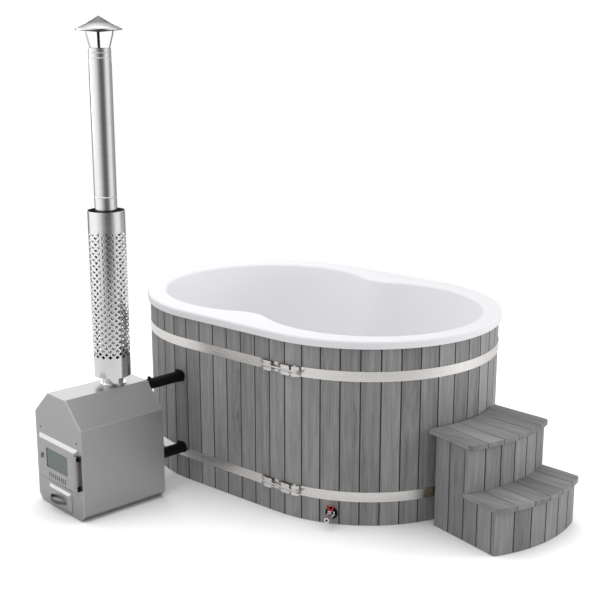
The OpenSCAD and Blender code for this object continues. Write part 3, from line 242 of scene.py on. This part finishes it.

# Wall boards
# Grey stained spruce boards that stand side by side around the frame. Each is flat
# outside with a softly broken edge, and the faces at its joints take a near-black stain,
# painted shade, so a thin dark line shows at every joint. The stain lets a fine upright
# grain, some knots and a small change of tone per board through.
end_radius = 0.700
half_straight = 0.316
board_total = 58
board_thick = 0.022
board_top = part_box("wall_boards_front")[1][2]
board_joint = 0.0008
board_edge = 0.0030
board_broken = 0.0008
first_joint = 0.3
quarter_arc = math.pi * end_radius / 2
wall_length = 4 * quarter_arc + 4 * half_straight
board_pitch = wall_length / board_total


def wall_turn(along):
    """Direction in which the wall faces at that length from its left end, past the front."""
    if along < quarter_arc:
        return math.pi * (1 + along / quarter_arc / 2)
    if along < quarter_arc + 2 * half_straight:
        return 1.5 * math.pi
    if along < 3 * quarter_arc + 2 * half_straight:
        return math.pi * (1.5 + (along - quarter_arc - 2 * half_straight) / quarter_arc / 2)
    if along < 3 * quarter_arc + 4 * half_straight:
        return 2.5 * math.pi
    return math.pi * (2.5 + (along - 3 * quarter_arc - 4 * half_straight) / quarter_arc / 2)


def wall_spine(along):
    """Where on the tub's middle line the wall is turned about at that length."""
    if along < quarter_arc:
        return -half_straight
    if along < quarter_arc + 2 * half_straight:
        return along - quarter_arc - half_straight
    if along < 3 * quarter_arc + 2 * half_straight:
        return half_straight
    if along < 3 * quarter_arc + 4 * half_straight:
        return 3 * quarter_arc + 3 * half_straight - along
    return -half_straight


def wall_point(along, out=0.0):
    along %= wall_length
    turn = wall_turn(along)
    reach = end_radius + out
    return Vector((wall_spine(along) + reach * math.cos(turn), reach * math.sin(turn)))


def effect_group(name, numbers, outputs):
    """An empty shader group with a place and named numbers going in, and masks coming out."""
    group = bpy.data.node_groups.new(name, "ShaderNodeTree")
    group.interface.new_socket("Place", in_out="INPUT", socket_type="NodeSocketVector")
    for label, value in numbers:
        socket = group.interface.new_socket(label, in_out="INPUT", socket_type="NodeSocketFloat")
        socket.default_value = value
    for label in outputs:
        group.interface.new_socket(label, in_out="OUTPUT", socket_type="NodeSocketFloat")
    start = group.nodes.new("NodeGroupInput")
    end = group.nodes.new("NodeGroupOutput")
    return group, start, end


def stretch(tree, place, scale, turn=(0, 0, 0)):
    node = tree.nodes.new("ShaderNodeMapping")
    node.inputs["Scale"].default_value = scale
    node.inputs["Rotation"].default_value = turn
    tree.links.new(place, node.inputs["Vector"])
    return node.outputs[0]


def shifted(tree, place, amount, axes):
    """Moves a place by the same amount along each of the axes."""
    push = tree.nodes.new("ShaderNodeCombineXYZ")
    for axis in axes:
        tree.links.new(amount, push.inputs[axis])
    move = tree.nodes.new("ShaderNodeVectorMath")
    move.operation = "ADD"
    tree.links.new(place, move.inputs[0])
    tree.links.new(push.outputs[0], move.inputs[1])
    return move.outputs[0]


def noise(tree, place, scale, detail, rough=0.55):
    node = tree.nodes.new("ShaderNodeTexNoise")
    node.inputs["Scale"].default_value = scale
    node.inputs["Detail"].default_value = detail
    node.inputs["Roughness"].default_value = rough
    tree.links.new(place, node.inputs["Vector"])
    return node.outputs["Fac"]


def weighed(tree, parts):
    """The sum of some masks, each times its weight."""
    total = 0.0
    for mask, weight in parts:
        total = math_node(tree, "ADD", total, math_node(tree, "MULTIPLY", mask, weight))
    return total


# Grain, knots and stain as one effect, with the fibres along Z
knot_spread = (4.2, 4.2, 1.5)
knot_rarity = 0.62
knot_core = (0.10, 0.03)
knot_halo = (0.40, 0.05)
knot_dark = 0.34
halo_dark = 0.05
halo_bend = 0.03
fibre_spread = (1.0, 1.0, 0.035)
cloud_spread = (1.0, 1.0, 0.35)
fine_weight = 0.42
broad_weight = 0.34
cloud_weight = 0.24
board_weight = 0.16
broad_relief = 0.8
grain, grain_in, grain_out = effect_group("stained_grain", [("Board tone", 0.5)], ("Tone", "Relief"))
grain_place = grain_in.outputs["Place"]
knot_cells = grain.nodes.new("ShaderNodeTexVoronoi")
knot_cells.inputs["Scale"].default_value = 1.0
grain.links.new(stretch(grain, grain_place, knot_spread), knot_cells.inputs["Vector"])
knot_pick = grain.nodes.new("ShaderNodeSeparateColor")
grain.links.new(knot_cells.outputs["Color"], knot_pick.inputs[0])
knot_here = math_node(grain, "GREATER_THAN", knot_pick.outputs[0], knot_rarity)
knot_distance = knot_cells.outputs["Distance"]
knot = math_node(grain, "MULTIPLY", map_range(grain, knot_distance, knot_core), knot_here)
halo = math_node(grain, "MULTIPLY", map_range(grain, knot_distance, knot_halo), knot_here)
fibre_bend = math_node(grain, "MULTIPLY", halo, halo_bend)
fibre_place = shifted(grain, stretch(grain, grain_place, fibre_spread), fibre_bend, (0, 1))
fine_fibre = noise(grain, fibre_place, scale=210.0, detail=5.0, rough=0.62)
broad_fibre = noise(grain, fibre_place, scale=42.0, detail=3.0, rough=0.5)
cloud = noise(grain, stretch(grain, grain_place, cloud_spread), scale=5.0, detail=4.0, rough=0.6)
own_tone = math_node(grain, "SUBTRACT", grain_in.outputs["Board tone"], 0.5)
wood_tone = weighed(grain, ((fine_fibre, fine_weight), (broad_fibre, broad_weight), (cloud, cloud_weight),
                            (own_tone, board_weight), (knot, -knot_dark), (halo, -halo_dark)))
wood_relief = weighed(grain, ((fine_fibre, 1.0), (broad_fibre, broad_relief)))
grain.links.new(wood_tone, grain_out.inputs["Tone"])
grain.links.new(wood_relief, grain_out.inputs["Relief"])


def new_material(name, colour, rough, metal=0.0):
    material = bpy.data.materials.new(name)
    material.use_nodes = True
    tree = material.node_tree
    shader = tree.nodes["Principled BSDF"]
    shader.inputs["Base Color"].default_value = (*colour, 1)
    shader.inputs["Roughness"].default_value = rough
    shader.inputs["Metallic"].default_value = metal
    return material, tree, shader


def two_tones(tree, shader, value, ends, dark, light):
    """Paints the surface from dark to light as the value goes from one end to the other."""
    ramp = tree.nodes.new("ShaderNodeValToRGB")
    for stop, end, colour in zip(ramp.color_ramp.elements, ends, (dark, light)):
        stop.position = end
        stop.color = (*colour, 1)
    tree.links.new(value, ramp.inputs["Fac"])
    tree.links.new(ramp.outputs["Color"], shader.inputs["Base Color"])


def raise_surface(tree, shader, height, strength, depth):
    """Lets a height show in the shading."""
    bump = tree.nodes.new("ShaderNodeBump")
    bump.inputs["Strength"].default_value = strength
    bump.inputs["Distance"].default_value = depth
    tree.links.new(height, bump.inputs["Height"])
    tree.links.new(bump.outputs["Normal"], shader.inputs["Normal"])


# Each board is cut from another part of the tree, so its grain is shifted by its own amount
board_shift = 37.0
stain_ends = (0.27, 0.67)
grain_depth = 0.0012
wood_gloss = 0.35


def stained_wood(name, dark, light, turn=(0, 0, 0), rough=0.62, relief=0.35):
    material, tree, shader = new_material(name, light, rough)
    where = tree.nodes.new("ShaderNodeTexCoord")
    own = tree.nodes.new("ShaderNodeNewGeometry").outputs["Random Per Island"]
    laid = stretch(tree, where.outputs["Object"], (1, 1, 1), turn)
    fibres = tree.nodes.new("ShaderNodeGroup")
    fibres.node_tree = grain
    own_shift = math_node(tree, "MULTIPLY", own, board_shift)
    tree.links.new(shifted(tree, laid, own_shift, (0, 1, 2)), fibres.inputs["Place"])
    tree.links.new(own, fibres.inputs["Board tone"])
    two_tones(tree, shader, fibres.outputs["Tone"], stain_ends, dark, light)
    raise_surface(tree, shader, fibres.outputs["Relief"], relief, grain_depth)
    shader.inputs["Specular IOR Level"].default_value = wood_gloss
    return material


wall_wood = stained_wood("grey_stained_boards", (0.130, 0.129, 0.130), (0.412, 0.409, 0.412))
# Painted shade: a near-black copy of the stain for the faces at the boards' joints
joint_painted_shade = stained_wood("boards_painted_shade_edges", (0.028, 0.028, 0.028), (0.072, 0.071, 0.072), relief=0.1)


def upright_prism(points, faces, outline, low, high):
    """Adds a prism that stands on an outline: its foot, its head and then its sides."""
    base = len(points)
    total = len(outline)
    for z in (low, high):
        points.extend((spot.x, spot.y, z) for spot in outline)
    faces.append([base + i for i in reversed(range(total))])
    faces.append([base + total + i for i in range(total)])
    for i in range(total):
        j = (i + 1) % total
        faces.append([base + i, base + j, base + total + j, base + total + i])


def wall_board(points, faces, shaded, number):
    """Adds one board. Its face and back show the stain, and its edges at the joints carry painted shade."""
    start = (number + first_joint) * board_pitch + board_joint / 2
    end = start + board_pitch - board_joint
    outline = [wall_point(start, -board_edge), wall_point(start + board_edge),
               wall_point(end - board_edge), wall_point(end, -board_edge),
               wall_point(end, -board_thick), wall_point(start, -board_thick)]
    first_side = len(faces) + 2
    upright_prism(points, faces, outline, 0.0, board_top)
    shaded.extend(first_side + i for i in (0, 2, 3, 5))


def mesh_from(name, points, faces):
    mesh = bpy.data.meshes.new(name)
    mesh.from_pydata([tuple(p) for p in points], [], faces)
    work = bmesh.new()
    work.from_mesh(mesh)
    bmesh.ops.recalc_face_normals(work, faces=work.faces)
    work.to_mesh(mesh)
    work.free()
    return mesh


def new_piece(name, mesh, finishes, body, smooth=True):
    """Puts a finished mesh into the scene, on its body and with its finish."""
    for material in finishes:
        mesh.materials.append(material)
    obj = bpy.data.objects.new(name, mesh)
    scene.collection.objects.link(obj)
    for face in mesh.polygons:
        face.use_smooth = smooth
    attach(obj, body)
    return obj


def soften(obj, width, steps=2, limit=30.0):
    """Breaks the sharp edges and evens the shading."""
    bevel = obj.modifiers.new("broken_edges", "BEVEL")
    bevel.width = width
    bevel.segments = steps
    bevel.limit_method = "ANGLE"
    bevel.angle_limit = math.radians(limit)
    even = obj.modifiers.new("even_shading", "WEIGHTED_NORMAL")
    even.keep_sharp = True
    return obj


stretches = {"left": [], "front": [], "right": [], "back": []}
for number in range(board_total):
    turn = wall_turn(((number + first_joint + 0.5) * board_pitch) % wall_length)
    if turn == 1.5 * math.pi:
        stretches["front"].append(number)
    elif turn == 2.5 * math.pi:
        stretches["back"].append(number)
    elif 1.5 * math.pi < turn < 2.5 * math.pi:
        stretches["right"].append(number)
    else:
        stretches["left"].append(number)
for side, numbers in stretches.items():
    points, faces, shaded = [], [], []
    for number in numbers:
        wall_board(points, faces, shaded, number)
    board_mesh = mesh_from("tub_boards_" + side, points, faces)
    boards = new_piece("tub_boards_" + side, board_mesh, (wall_wood, joint_painted_shade), "tub", False)
    for face in shaded:
        board_mesh.polygons[face].material_index = 1
    soften(boards, board_broken)
    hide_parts("wall_boards_" + side)

# Liner
# One white moulded basin with a broad rolled rim that hides the boards' ends, two
# round lobes, a seat all round and a deeper well for the feet.
rim_over = 0.013
rim_drop = 0.00275
rim_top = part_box("liner")[1][2]
rim_round = 0.012
lip_round = 0.016
shell = 0.006
lobe_centre = 0.356
lobe_radius = 0.583
waist_half = 0.501
seat_height = 0.430
well_length = 0.470
well_width = 0.355
well_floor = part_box("liner")[0][2] + shell
basin_rise = rim_top - lip_round - seat_height
wall_draft = 0.08 * basin_rise
seat_round = 0.09 * basin_rise
well_rise = seat_height - well_floor
well_draft = 0.1 * well_rise
well_inset = 0.3333 * well_rise
well_round = well_rise / 4
around = 384
rim_cut_angle = math.radians(60)
gelcoat_tint = (0.82, 0.815, 0.84)
gelcoat_dullness = (0.42, 0.52)
gelcoat_gloss = 0.10


def far_side(centre, radius, angle):
    """How far the rim of a circle is in that direction, seen from beside its centre."""
    return centre * abs(math.cos(angle)) + math.sqrt(radius ** 2 - (centre * math.sin(angle)) ** 2)


def rim_reach(angle, grow):
    radius = end_radius + grow
    c, s = abs(math.cos(angle)), abs(math.sin(angle))
    return radius / s if radius * c < half_straight * s else far_side(half_straight, radius, angle)


def basin_reach(angle, grow):
    """Two round lobes with a waist between them that curves the other way."""
    lobe = lobe_radius + grow
    neck = waist_half + grow
    waist = (lobe_centre ** 2 + neck ** 2 - lobe ** 2) / (2 * (lobe_radius - waist_half))
    middle = neck + waist
    c, s = abs(math.cos(angle)), abs(math.sin(angle))
    if math.atan2(s, c) > math.atan2(middle * lobe, lobe_centre * waist):
        return middle * s - math.sqrt(waist ** 2 - (middle * c) ** 2)
    return far_side(lobe_centre, lobe, angle)


def well_reach(angle, grow):
    return 1 / math.hypot(math.cos(angle) / (well_length + grow), math.sin(angle) / (well_width + grow))


def straight(first, last, steps):
    """Grow and height pairs on a straight line from one point to another."""
    shares = [i / steps for i in range(steps + 1)]
    return [(first[0] + (last[0] - first[0]) * t, first[1] + (last[1] - first[1]) * t) for t in shares]


def quarter_turn(first, last, steps):
    """Grow and height pairs on a quarter of an ellipse from one point to another, flat at the last."""
    angles = [i / steps * math.pi / 2 for i in range(steps + 1)]
    return [(last[0] + (first[0] - last[0]) * math.cos(a), first[1] + (last[1] - first[1]) * math.sin(a))
            for a in angles]


# The section from the rim's lower edge over the seat to the well's floor
rim_edge = (rim_over, board_top - rim_drop)
rim_side = (rim_over, rim_top - rim_round)
rim_crest = (rim_over - rim_round, rim_top)
lip_crest = (lip_round, rim_top)
basin_head = (0.0, rim_top - lip_round)
basin_foot = (-wall_draft, seat_height + seat_round)
seat_edge = (-wall_draft - seat_round, seat_height)
well_crest = (seat_round / 2, seat_height)
well_head = (0.0, seat_height - seat_round / 2)
well_foot = (-well_draft, well_floor + well_round)
well_edge = (-well_inset, well_floor)
rim_section = [rim_edge] + quarter_turn(rim_side, rim_crest, 6)
basin_section = quarter_turn(basin_head, lip_crest, 8)[::-1] + straight(basin_head, basin_foot, 8)[1:]
basin_section += quarter_turn(basin_foot, seat_edge, 8)[1:]
well_section = quarter_turn(well_head, well_crest, 6)[::-1] + straight(well_head, well_foot, 4)[1:]
well_section += quarter_turn(well_foot, well_edge, 8)[1:]
skin = [(rim_reach, grow, z) for grow, z in rim_section]
skin += [(basin_reach, grow, z) for grow, z in basin_section]
skin += [(well_reach, grow, z) for grow, z in well_section]
liner_points = []
for reach, grow, z in skin:
    for i in range(around):
        angle = 2 * math.pi * i / around
        r = reach(angle, grow)
        liner_points.append((r * math.cos(angle), r * math.sin(angle), z))
liner_faces = []
for row in range(len(skin) - 1):
    for i in range(around):
        j = (i + 1) % around
        a, b = row * around, (row + 1) * around
        liner_faces.append([a + i, a + j, b + j, b + i])
liner_faces.append([(len(skin) - 1) * around + i for i in range(around)])
liner_mesh = mesh_from("tub_liner", liner_points, liner_faces)
gelcoat, gelcoat_tree, gelcoat_shader = new_material("white_gelcoat", gelcoat_tint, gelcoat_dullness[0])
gelcoat_shader.inputs["Specular IOR Level"].default_value = gelcoat_gloss
gelcoat_place = gelcoat_tree.nodes.new("ShaderNodeTexCoord")
gelcoat_haze = noise(gelcoat_tree, gelcoat_place.outputs["Object"], scale=6.0, detail=3.0)
gelcoat_rough = map_range(gelcoat_tree, gelcoat_haze, (0.0, 1.0), gelcoat_dullness)
gelcoat_tree.links.new(gelcoat_rough, gelcoat_shader.inputs["Roughness"])
liner = new_piece("tub_liner", liner_mesh, [gelcoat], "tub")
liner_shell = liner.modifiers.new("laminate", "SOLIDIFY")
liner_shell.thickness = shell
liner_shell.offset = -1.0
liner_rims = liner.modifiers.new("cut_edges", "EDGE_SPLIT")
liner_rims.split_angle = rim_cut_angle
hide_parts("liner")

# Steel
# Everything of steel is stainless: brushed bands and sheet, polished pipe, plain
# fasteners. One effect lays the fine scratches of the brush along a chosen direction.
brush, brush_in, brush_out = effect_group("brushed_lines", [], ("Lines",))
brush_fine = noise(brush, brush_in.outputs["Place"], scale=1.0, detail=4.0, rough=0.6)
brush.links.new(brush_fine, brush_out.inputs["Lines"])
least_rough = 0.02
brush_ends = (0.3, 0.7)
scratch_depth = 0.00005


def brushed_steel(name, colour, rough, scale, depth=0.4, spread=0.10, blotch=0.06):
    material, tree, shader = new_material(name, colour, rough, 1.0)
    where = tree.nodes.new("ShaderNodeTexCoord")
    group = tree.nodes.new("ShaderNodeGroup")
    group.node_tree = brush
    tree.links.new(stretch(tree, where.outputs["Object"], scale), group.inputs["Place"])
    lines = group.outputs["Lines"]
    gloss = map_range(tree, lines, (0.0, 1.0), (max(least_rough, rough - spread), rough + spread))
    tree.links.new(gloss, shader.inputs["Roughness"])
    dark = [c * (1 - blotch) for c in colour]
    light = [min(1.0, c * (1 + blotch)) for c in colour]
    two_tones(tree, shader, lines, brush_ends, dark, light)
    raise_surface(tree, shader, lines, depth, scratch_depth)
    return material


def dress(material, *names):
    """Gives its finish to each solid of the frame that is named."""
    for name in names:
        solid = nodes[name]
        solid.data.materials.clear()
        solid.data.materials.append(material)


band_steel = brushed_steel("brushed_band", (0.79, 0.767, 0.745), 0.27, (3, 3, 700), depth=0.12)
sheet_steel = brushed_steel("brushed_sheet", (0.440, 0.435, 0.435), 0.34, (900, 900, 6),
                            depth=0.2, blotch=0.04)
# Painted highlight: a lighter steel for the stove's fold radii
fold_painted_highlight = brushed_steel("painted_highlight_fold", (0.58, 0.58, 0.58), 0.32, (60, 60, 60), depth=0.05)
# Dark steel: the screws' own colour, and painted shade on the drawer's handle
dark_screws_and_painted_shade = brushed_steel("dark_screws_and_painted_shade_steel", (0.15, 0.15, 0.15), 0.45, (200, 200, 20), depth=0.3)
pipe_steel = brushed_steel("polished_pipe", (0.80, 0.80, 0.80), 0.17, (6, 6, 500), depth=0.05, spread=0.05)
plain_steel = brushed_steel("plain_fastener", (0.55, 0.55, 0.56), 0.28, (300, 300, 300), depth=0.2)
bright_steel = brushed_steel("polished_fitting", (0.86, 0.86, 0.87), 0.10, (200, 200, 200),
                             depth=0.1, spread=0.04)
dress(band_steel, "band_upper", "band_lower", "clamp_brackets", "band_rivets")
dress(plain_steel, "clamp_rods", "clamp_nuts", "hinge_pin", "glass_clips", "cap_straps",
      "shield_spacers", "drain_strainer", "port_grilles", "port_pipes", "stove_ports", "drain_pipe")
dress(pipe_steel, "flue_spigot", "flue_lower", "flue_upper", "flue_end")
dress(bright_steel, "drain_valve", "valve_ball")

# Stove sheets
# The casing and its front, door and drawer are folded from brushed sheet with small radii at
# their edges; on the casing and the front these radii are a lighter steel, a painted highlight.
# The walls of the door's air slots are near black, painted shade.
sheet_edge = 0.0022
slot_wall_area = 0.00012
weld_distance = 0.00002
flat_angle = math.radians(1.0)
crease_angle = math.radians(28)


def shaped_copy(node, finishes, body, seam=None, groove=0.0):
    """A solid's own shape as a piece with clean faces, its seams cut as grooves with painted shade if it has
    any.
    """
    mesh = nodes[node].data.copy()
    mesh.name = "shaped_" + node
    mesh.materials.clear()
    work = bmesh.new()
    work.from_mesh(mesh)
    bmesh.ops.remove_doubles(work, verts=work.verts, dist=weld_distance)
    bmesh.ops.dissolve_limit(work, angle_limit=flat_angle, verts=work.verts, edges=work.edges)
    if seam:
        cuts = [edge for edge in work.edges if seam(edge.verts[0].co, edge.verts[1].co)]
        bmesh.ops.bevel(work, geom=cuts, offset=groove, segments=1, affect="EDGES", material=1,
                        clamp_overlap=True)
    work.to_mesh(mesh)
    work.free()
    piece = new_piece("shaped_" + node, mesh, finishes, body)
    mesh.set_sharp_from_angle(angle=crease_angle)
    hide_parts(node)
    return piece


for node in ("stove_casing", "front_plate"):
    # The radii of the casing's and the front's folds take the lighter steel as a painted highlight
    sheet = soften(shaped_copy(node, [sheet_steel, fold_painted_highlight], "tub"), sheet_edge, 3)
    sheet.modifiers["broken_edges"].material = 1
soften(shaped_copy("drawer_front", [sheet_steel], "ash_drawer"), sheet_edge, 3)
# Near-black steel as painted shade, for the door's slot walls and the cap's dish
painted_shade_black = brushed_steel("painted_shade_black_steel", (0.035, 0.035, 0.035), 0.60, (200, 200, 20))
door = soften(shaped_copy("door_pan", [sheet_steel, painted_shade_black], "stove_door"), sheet_edge, 3)
# The walls of the pan's air slots are its smallest faces, and they take painted shade
for face in door.data.polygons:
    if face.area < slot_wall_area:
        face.material_index = 1
# The plate's screws are dark as they are; the drawer's handle is darkened as painted shade for the shadow
# under it
dress(dark_screws_and_painted_shade, "drawer_handle", "plate_screws")

# Heat shield
# A tube of sheet around the flue, pierced with a fine rhombic lattice between two plain
# collars. Its inner face is a dark steel, painted shade, which shows through the holes.
shield_inner_painted_shade = brushed_steel("shield_inner_painted_shade_steel", (0.16, 0.16, 0.165), 0.40, (200, 200, 20))
shield_low, shield_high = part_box("heat_shield")
shield_x = (shield_low[0] + shield_high[0]) / 2
shield_y = (shield_low[1] + shield_high[1]) / 2
shield_radius = (shield_high[0] - shield_low[0]) / 2
shield_columns = 16
shield_rows = 41
shield_collar = 0.095
shield_sheet = 0.001
shield_cut_angle = math.radians(50)
hole_share = 0.64
collar_parts = 4
lattice_low = shield_low[2] + shield_collar
lattice_high = shield_high[2] - shield_collar
half_row = (lattice_high - lattice_low) / (shield_rows + 1)
shield_points, shield_faces, shield_index = [], [], {}
# Points closer than these parts of a column and of a metre are one and the same
column_parts = 1000
height_parts = 1000000


def shield_corner(column, height):
    """The number of the shield's point there, which is made when it is first asked for."""
    key = (round(column * column_parts) % (shield_columns * column_parts), round(height * height_parts))
    if key not in shield_index:
        angle = 2 * math.pi * column / shield_columns
        shield_index[key] = len(shield_points)
        x = shield_x + shield_radius * math.cos(angle)
        y = shield_y + shield_radius * math.sin(angle)
        shield_points.append((x, y, height))
    return shield_index[key]


for row in range(shield_rows):
    height = lattice_low + (row + 1) * half_row
    for column in range(shield_columns):
        middle = column + 0.5 * (row % 2)
        rings = []
        for share in (1.0, hole_share):
            rings.append([shield_corner(middle, height - half_row * share),
                          shield_corner(middle + 0.5 * share, height),
                          shield_corner(middle, height + half_row * share),
                          shield_corner(middle - 0.5 * share, height)])
        for i in range(4):
            j = (i + 1) % 4
            shield_faces.append([rings[0][i], rings[0][j], rings[1][j], rings[1][i]])
for column in range(shield_columns):
    low = shield_corner(column + 0.5, lattice_low + half_row)
    high = shield_corner(column + 0.5, lattice_high - half_row)
    for i in range(collar_parts):
        a, b = column + i / collar_parts, column + (i + 1) / collar_parts
        shield_faces.append([shield_corner(a, lattice_low), shield_corner(b, lattice_low), low])
        shield_faces.append([shield_corner(b, lattice_high), shield_corner(a, lattice_high), high])
        shield_faces.append([shield_corner(a, shield_low[2]), shield_corner(b, shield_low[2]),
                             shield_corner(b, lattice_low), shield_corner(a, lattice_low)])
        shield_faces.append([shield_corner(a, lattice_high), shield_corner(b, lattice_high),
                             shield_corner(b, shield_high[2]), shield_corner(a, shield_high[2])])
shield_mesh = mesh_from("pierced_shield", shield_points, shield_faces)
shield = new_piece("pierced_shield", shield_mesh, [pipe_steel, shield_inner_painted_shade], "tub")
shield_wall = shield.modifiers.new("sheet", "SOLIDIFY")
shield_wall.thickness = shield_sheet
shield_wall.offset = -1.0
# The inner side takes the dark steel as painted shade
shield_wall.material_offset = 1
shield_rims = shield.modifiers.new("cut_edges", "EDGE_SPLIT")
shield_rims.split_angle = shield_cut_angle
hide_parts("heat_shield")

# Rain cap
# A spun cone of polished steel with a rolled lip, on three straps above the flue. The
# dish under it is near black, painted shade.
dish_facing = -0.15
cap = shaped_copy("rain_cap", [pipe_steel, painted_shade_black], "tub")
# Painted shade: the faces that look downwards take the near-black steel
for face in cap.data.polygons:
    if face.normal.z < dish_facing:
        face.material_index = 1

# Frame, deck and the steps' trestles
# Bearers on the floor, the deck that carries the liner, hoops and posts behind the
# boards, and the posts and rails inside the steps: all of sawn pine, and out of sight.
pine = stained_wood("sawn_pine", (0.36, 0.24, 0.13), (0.62, 0.47, 0.30), rough=0.75)
dress(pine, "bearers", "deck", "frame_hoops", "frame_posts", "step_posts")

# Small dark parts
# Black hoses and plastic rings, the knob's rough casting, the hinge's zinc, sooty iron in
# the fire, the rope seal, the tinted window and the red handle, each in one matt coat.
coat_depth = 0.0006
coat_spread = 0.08


def matt_coat(name, colour, rough, scale, relief, gloss=0.4):
    material, tree, shader = new_material(name, colour, rough)
    where = tree.nodes.new("ShaderNodeTexCoord")
    grains = noise(tree, where.outputs["Object"], scale, detail=3.0)
    raise_surface(tree, shader, grains, relief, coat_depth)
    sheen = map_range(tree, grains, (0.0, 1.0), (rough - coat_spread, rough + coat_spread))
    tree.links.new(sheen, shader.inputs["Roughness"])
    shader.inputs["Specular IOR Level"].default_value = gloss
    return material


rubber = matt_coat("black_rubber", (0.004, 0.004, 0.004), 0.46, 260.0, 0.25, 0.15)
dress(rubber, "hose_upper", "hose_lower", "hose_clips", "tub_ports", "drain_rosette")
dress(matt_coat("woven_rope", (0.10, 0.10, 0.10), 0.85, 900.0, 0.9, 0.2), "door_seal")
dress(matt_coat("grey_casting", (0.30, 0.30, 0.30), 0.5, 400.0, 0.5), "latch_knob")
dress(matt_coat("zinc_coating", (0.40, 0.40, 0.40), 0.42, 300.0, 0.2), "door_barrel", "hinge_sleeves")
soot = stained_wood("sooty_iron", (0.02, 0.02, 0.02), (0.06, 0.058, 0.055), rough=0.8)
dress(soot, "firebox", "grate", "ash_tray")
dress(matt_coat("red_coating", (0.55, 0.02, 0.02), 0.35, 180.0, 0.15), "valve_handle")
window_glass = matt_coat("tinted_window", (0.115, 0.155, 0.148), 0.14, 12.0, 0.02)
window_shader = window_glass.node_tree.nodes["Principled BSDF"]
window_shader.inputs["Alpha"].default_value = 0.92
window_shader.inputs["Coat Weight"].default_value = 0.5
dress(window_glass, "door_glass")

# Hinge mounts
# Two small black mounts hold the hinge's sleeves in front of the plate. Each is hollowed
# to the sleeve's round and ends flush on the plate.
joints = {joint["name"]: joint for joint in frame["record"]["behaviour"]["joints"]}
hinge_axis = Vector(joints["stove_door_hinge"]["pos_m"])
mount_back_way = -Vector(joints["ash_drawer_slide"]["axis"])
mount_side_way = Vector((mount_back_way.y, -mount_back_way.x, 0))
mount_low, mount_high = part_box("hinge_blocks")
mount_height = 0.022
mount_round = 0.0118
mount_side = 0.0136
mount_inner = -0.004
mount_front = 0.002
mount_back = 0.0199
mount_broken = 0.0008
mount_steps = 10
hollow_start = math.acos(mount_inner / mount_round)
hollow_end = math.asin(mount_front / mount_round)
mount_corners = [(mount_side, mount_front), (mount_side, mount_back), (mount_inner, mount_back)]
for i in range(mount_steps + 1):
    angle = hollow_start + (hollow_end - hollow_start) * i / mount_steps
    mount_corners.append((mount_round * math.cos(angle), mount_round * math.sin(angle)))
mount_outline = [hinge_axis + side * mount_side_way + back * mount_back_way for side, back in mount_corners]
mount_points, mount_faces = [], []
for foot in (mount_low[2], mount_high[2] - mount_height):
    upright_prism(mount_points, mount_faces, mount_outline, foot, foot + mount_height)
mount_mesh = mesh_from("hinge_mounts", mount_points, mount_faces)
mounts = new_piece("hinge_mounts", mount_mesh, [rubber], "tub", False)
soften(mounts, mount_broken)
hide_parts("hinge_blocks")

# Steps
# The same stained boards: upright ones for the risers and sides, and ones that run
# outwards from the tub for the two treads.
step_turn = math.radians(8.9)
step_shift = 0.050
step_half = 0.260
step_back = 0.729
step_fan = math.tan(math.radians(4.9))
half_boards = 3
seam_near = 0.06
upright_least = 0.1


def steps_place(point):
    """How far out from the tub and how far across the steps a point lies."""
    x = point.x - half_straight
    out = x * math.cos(step_turn) - point.y * math.sin(step_turn)
    across = x * math.sin(step_turn) + point.y * math.cos(step_turn) - step_shift
    return out, across


def steps_half_width(out):
    return step_half + step_fan * (out - step_back)


def board_count(point):
    """Where a point lies across the steps, counted in boards from the middle."""
    out, across = steps_place(point)
    return half_boards * across / steps_half_width(out)


def between_boards(a, b):
    first, second = board_count(a), board_count(b)
    near = round(first)
    return abs(near) < half_boards and abs(first - near) < seam_near and abs(second - near) < seam_near


def upright(a, b):
    return abs(a.z - b.z) > upright_least


step_dark = (0.108, 0.107, 0.108)
step_light = (0.330, 0.328, 0.330)
tread_wood = stained_wood("grey_stained_treads", step_dark, step_light, turn=(0, math.radians(90), step_turn))
riser_wood = stained_wood("grey_stained_risers", step_dark, step_light)
# Painted shade: darker stains for the grooves between the step boards, less dark on the treads
tread_joint_painted_shade = stained_wood("treads_painted_shade_edges", (0.040, 0.040, 0.040), (0.100, 0.099, 0.100), relief=0.1)
wide_groove = 0.0028
fine_groove = 0.0013
step_broken = 0.0015
step_sharp_limit = 55.0
step_boards = {}
for node, wood, dark, seam, groove in (("riser_lower", riser_wood, joint_painted_shade, between_boards, wide_groove),
                                       ("riser_upper", riser_wood, joint_painted_shade, between_boards, wide_groove),
                                       ("step_sides", riser_wood, joint_painted_shade, upright, wide_groove),
                                       ("tread_lower", tread_wood, tread_joint_painted_shade, between_boards, fine_groove),
                                       ("tread_upper", tread_wood, tread_joint_painted_shade, between_boards, fine_groove)):
    step_boards[node] = shaped_copy(node, [wood, dark], "tub", seam, groove)
    soften(step_boards[node], step_broken, limit=step_sharp_limit)
# Under the lower tread the side boards run on until they touch the upper riser boards
side_board_end = 0.9503
side_end_near = 0.0065
side_board_thick = 0.020
side_longer_out = 0.0194
side_longer_in = 0.0125
tread_underside = 0.2185
for vertex in step_boards["step_sides"].data.vertices:
    point = vertex.co
    out, across = steps_place(point)
    if point.z < tread_underside and abs(out - side_board_end) < side_end_near:
        depth = (steps_half_width(out) - abs(across)) / side_board_thick
        longer = side_longer_out + (side_longer_in - side_longer_out) * min(1.0, max(0.0, depth))
        inwards = -math.copysign(longer * step_fan, across)
        point.x += -longer * math.cos(step_turn) + inwards * math.sin(step_turn)
        point.y += longer * math.sin(step_turn) + inwards * math.cos(step_turn)
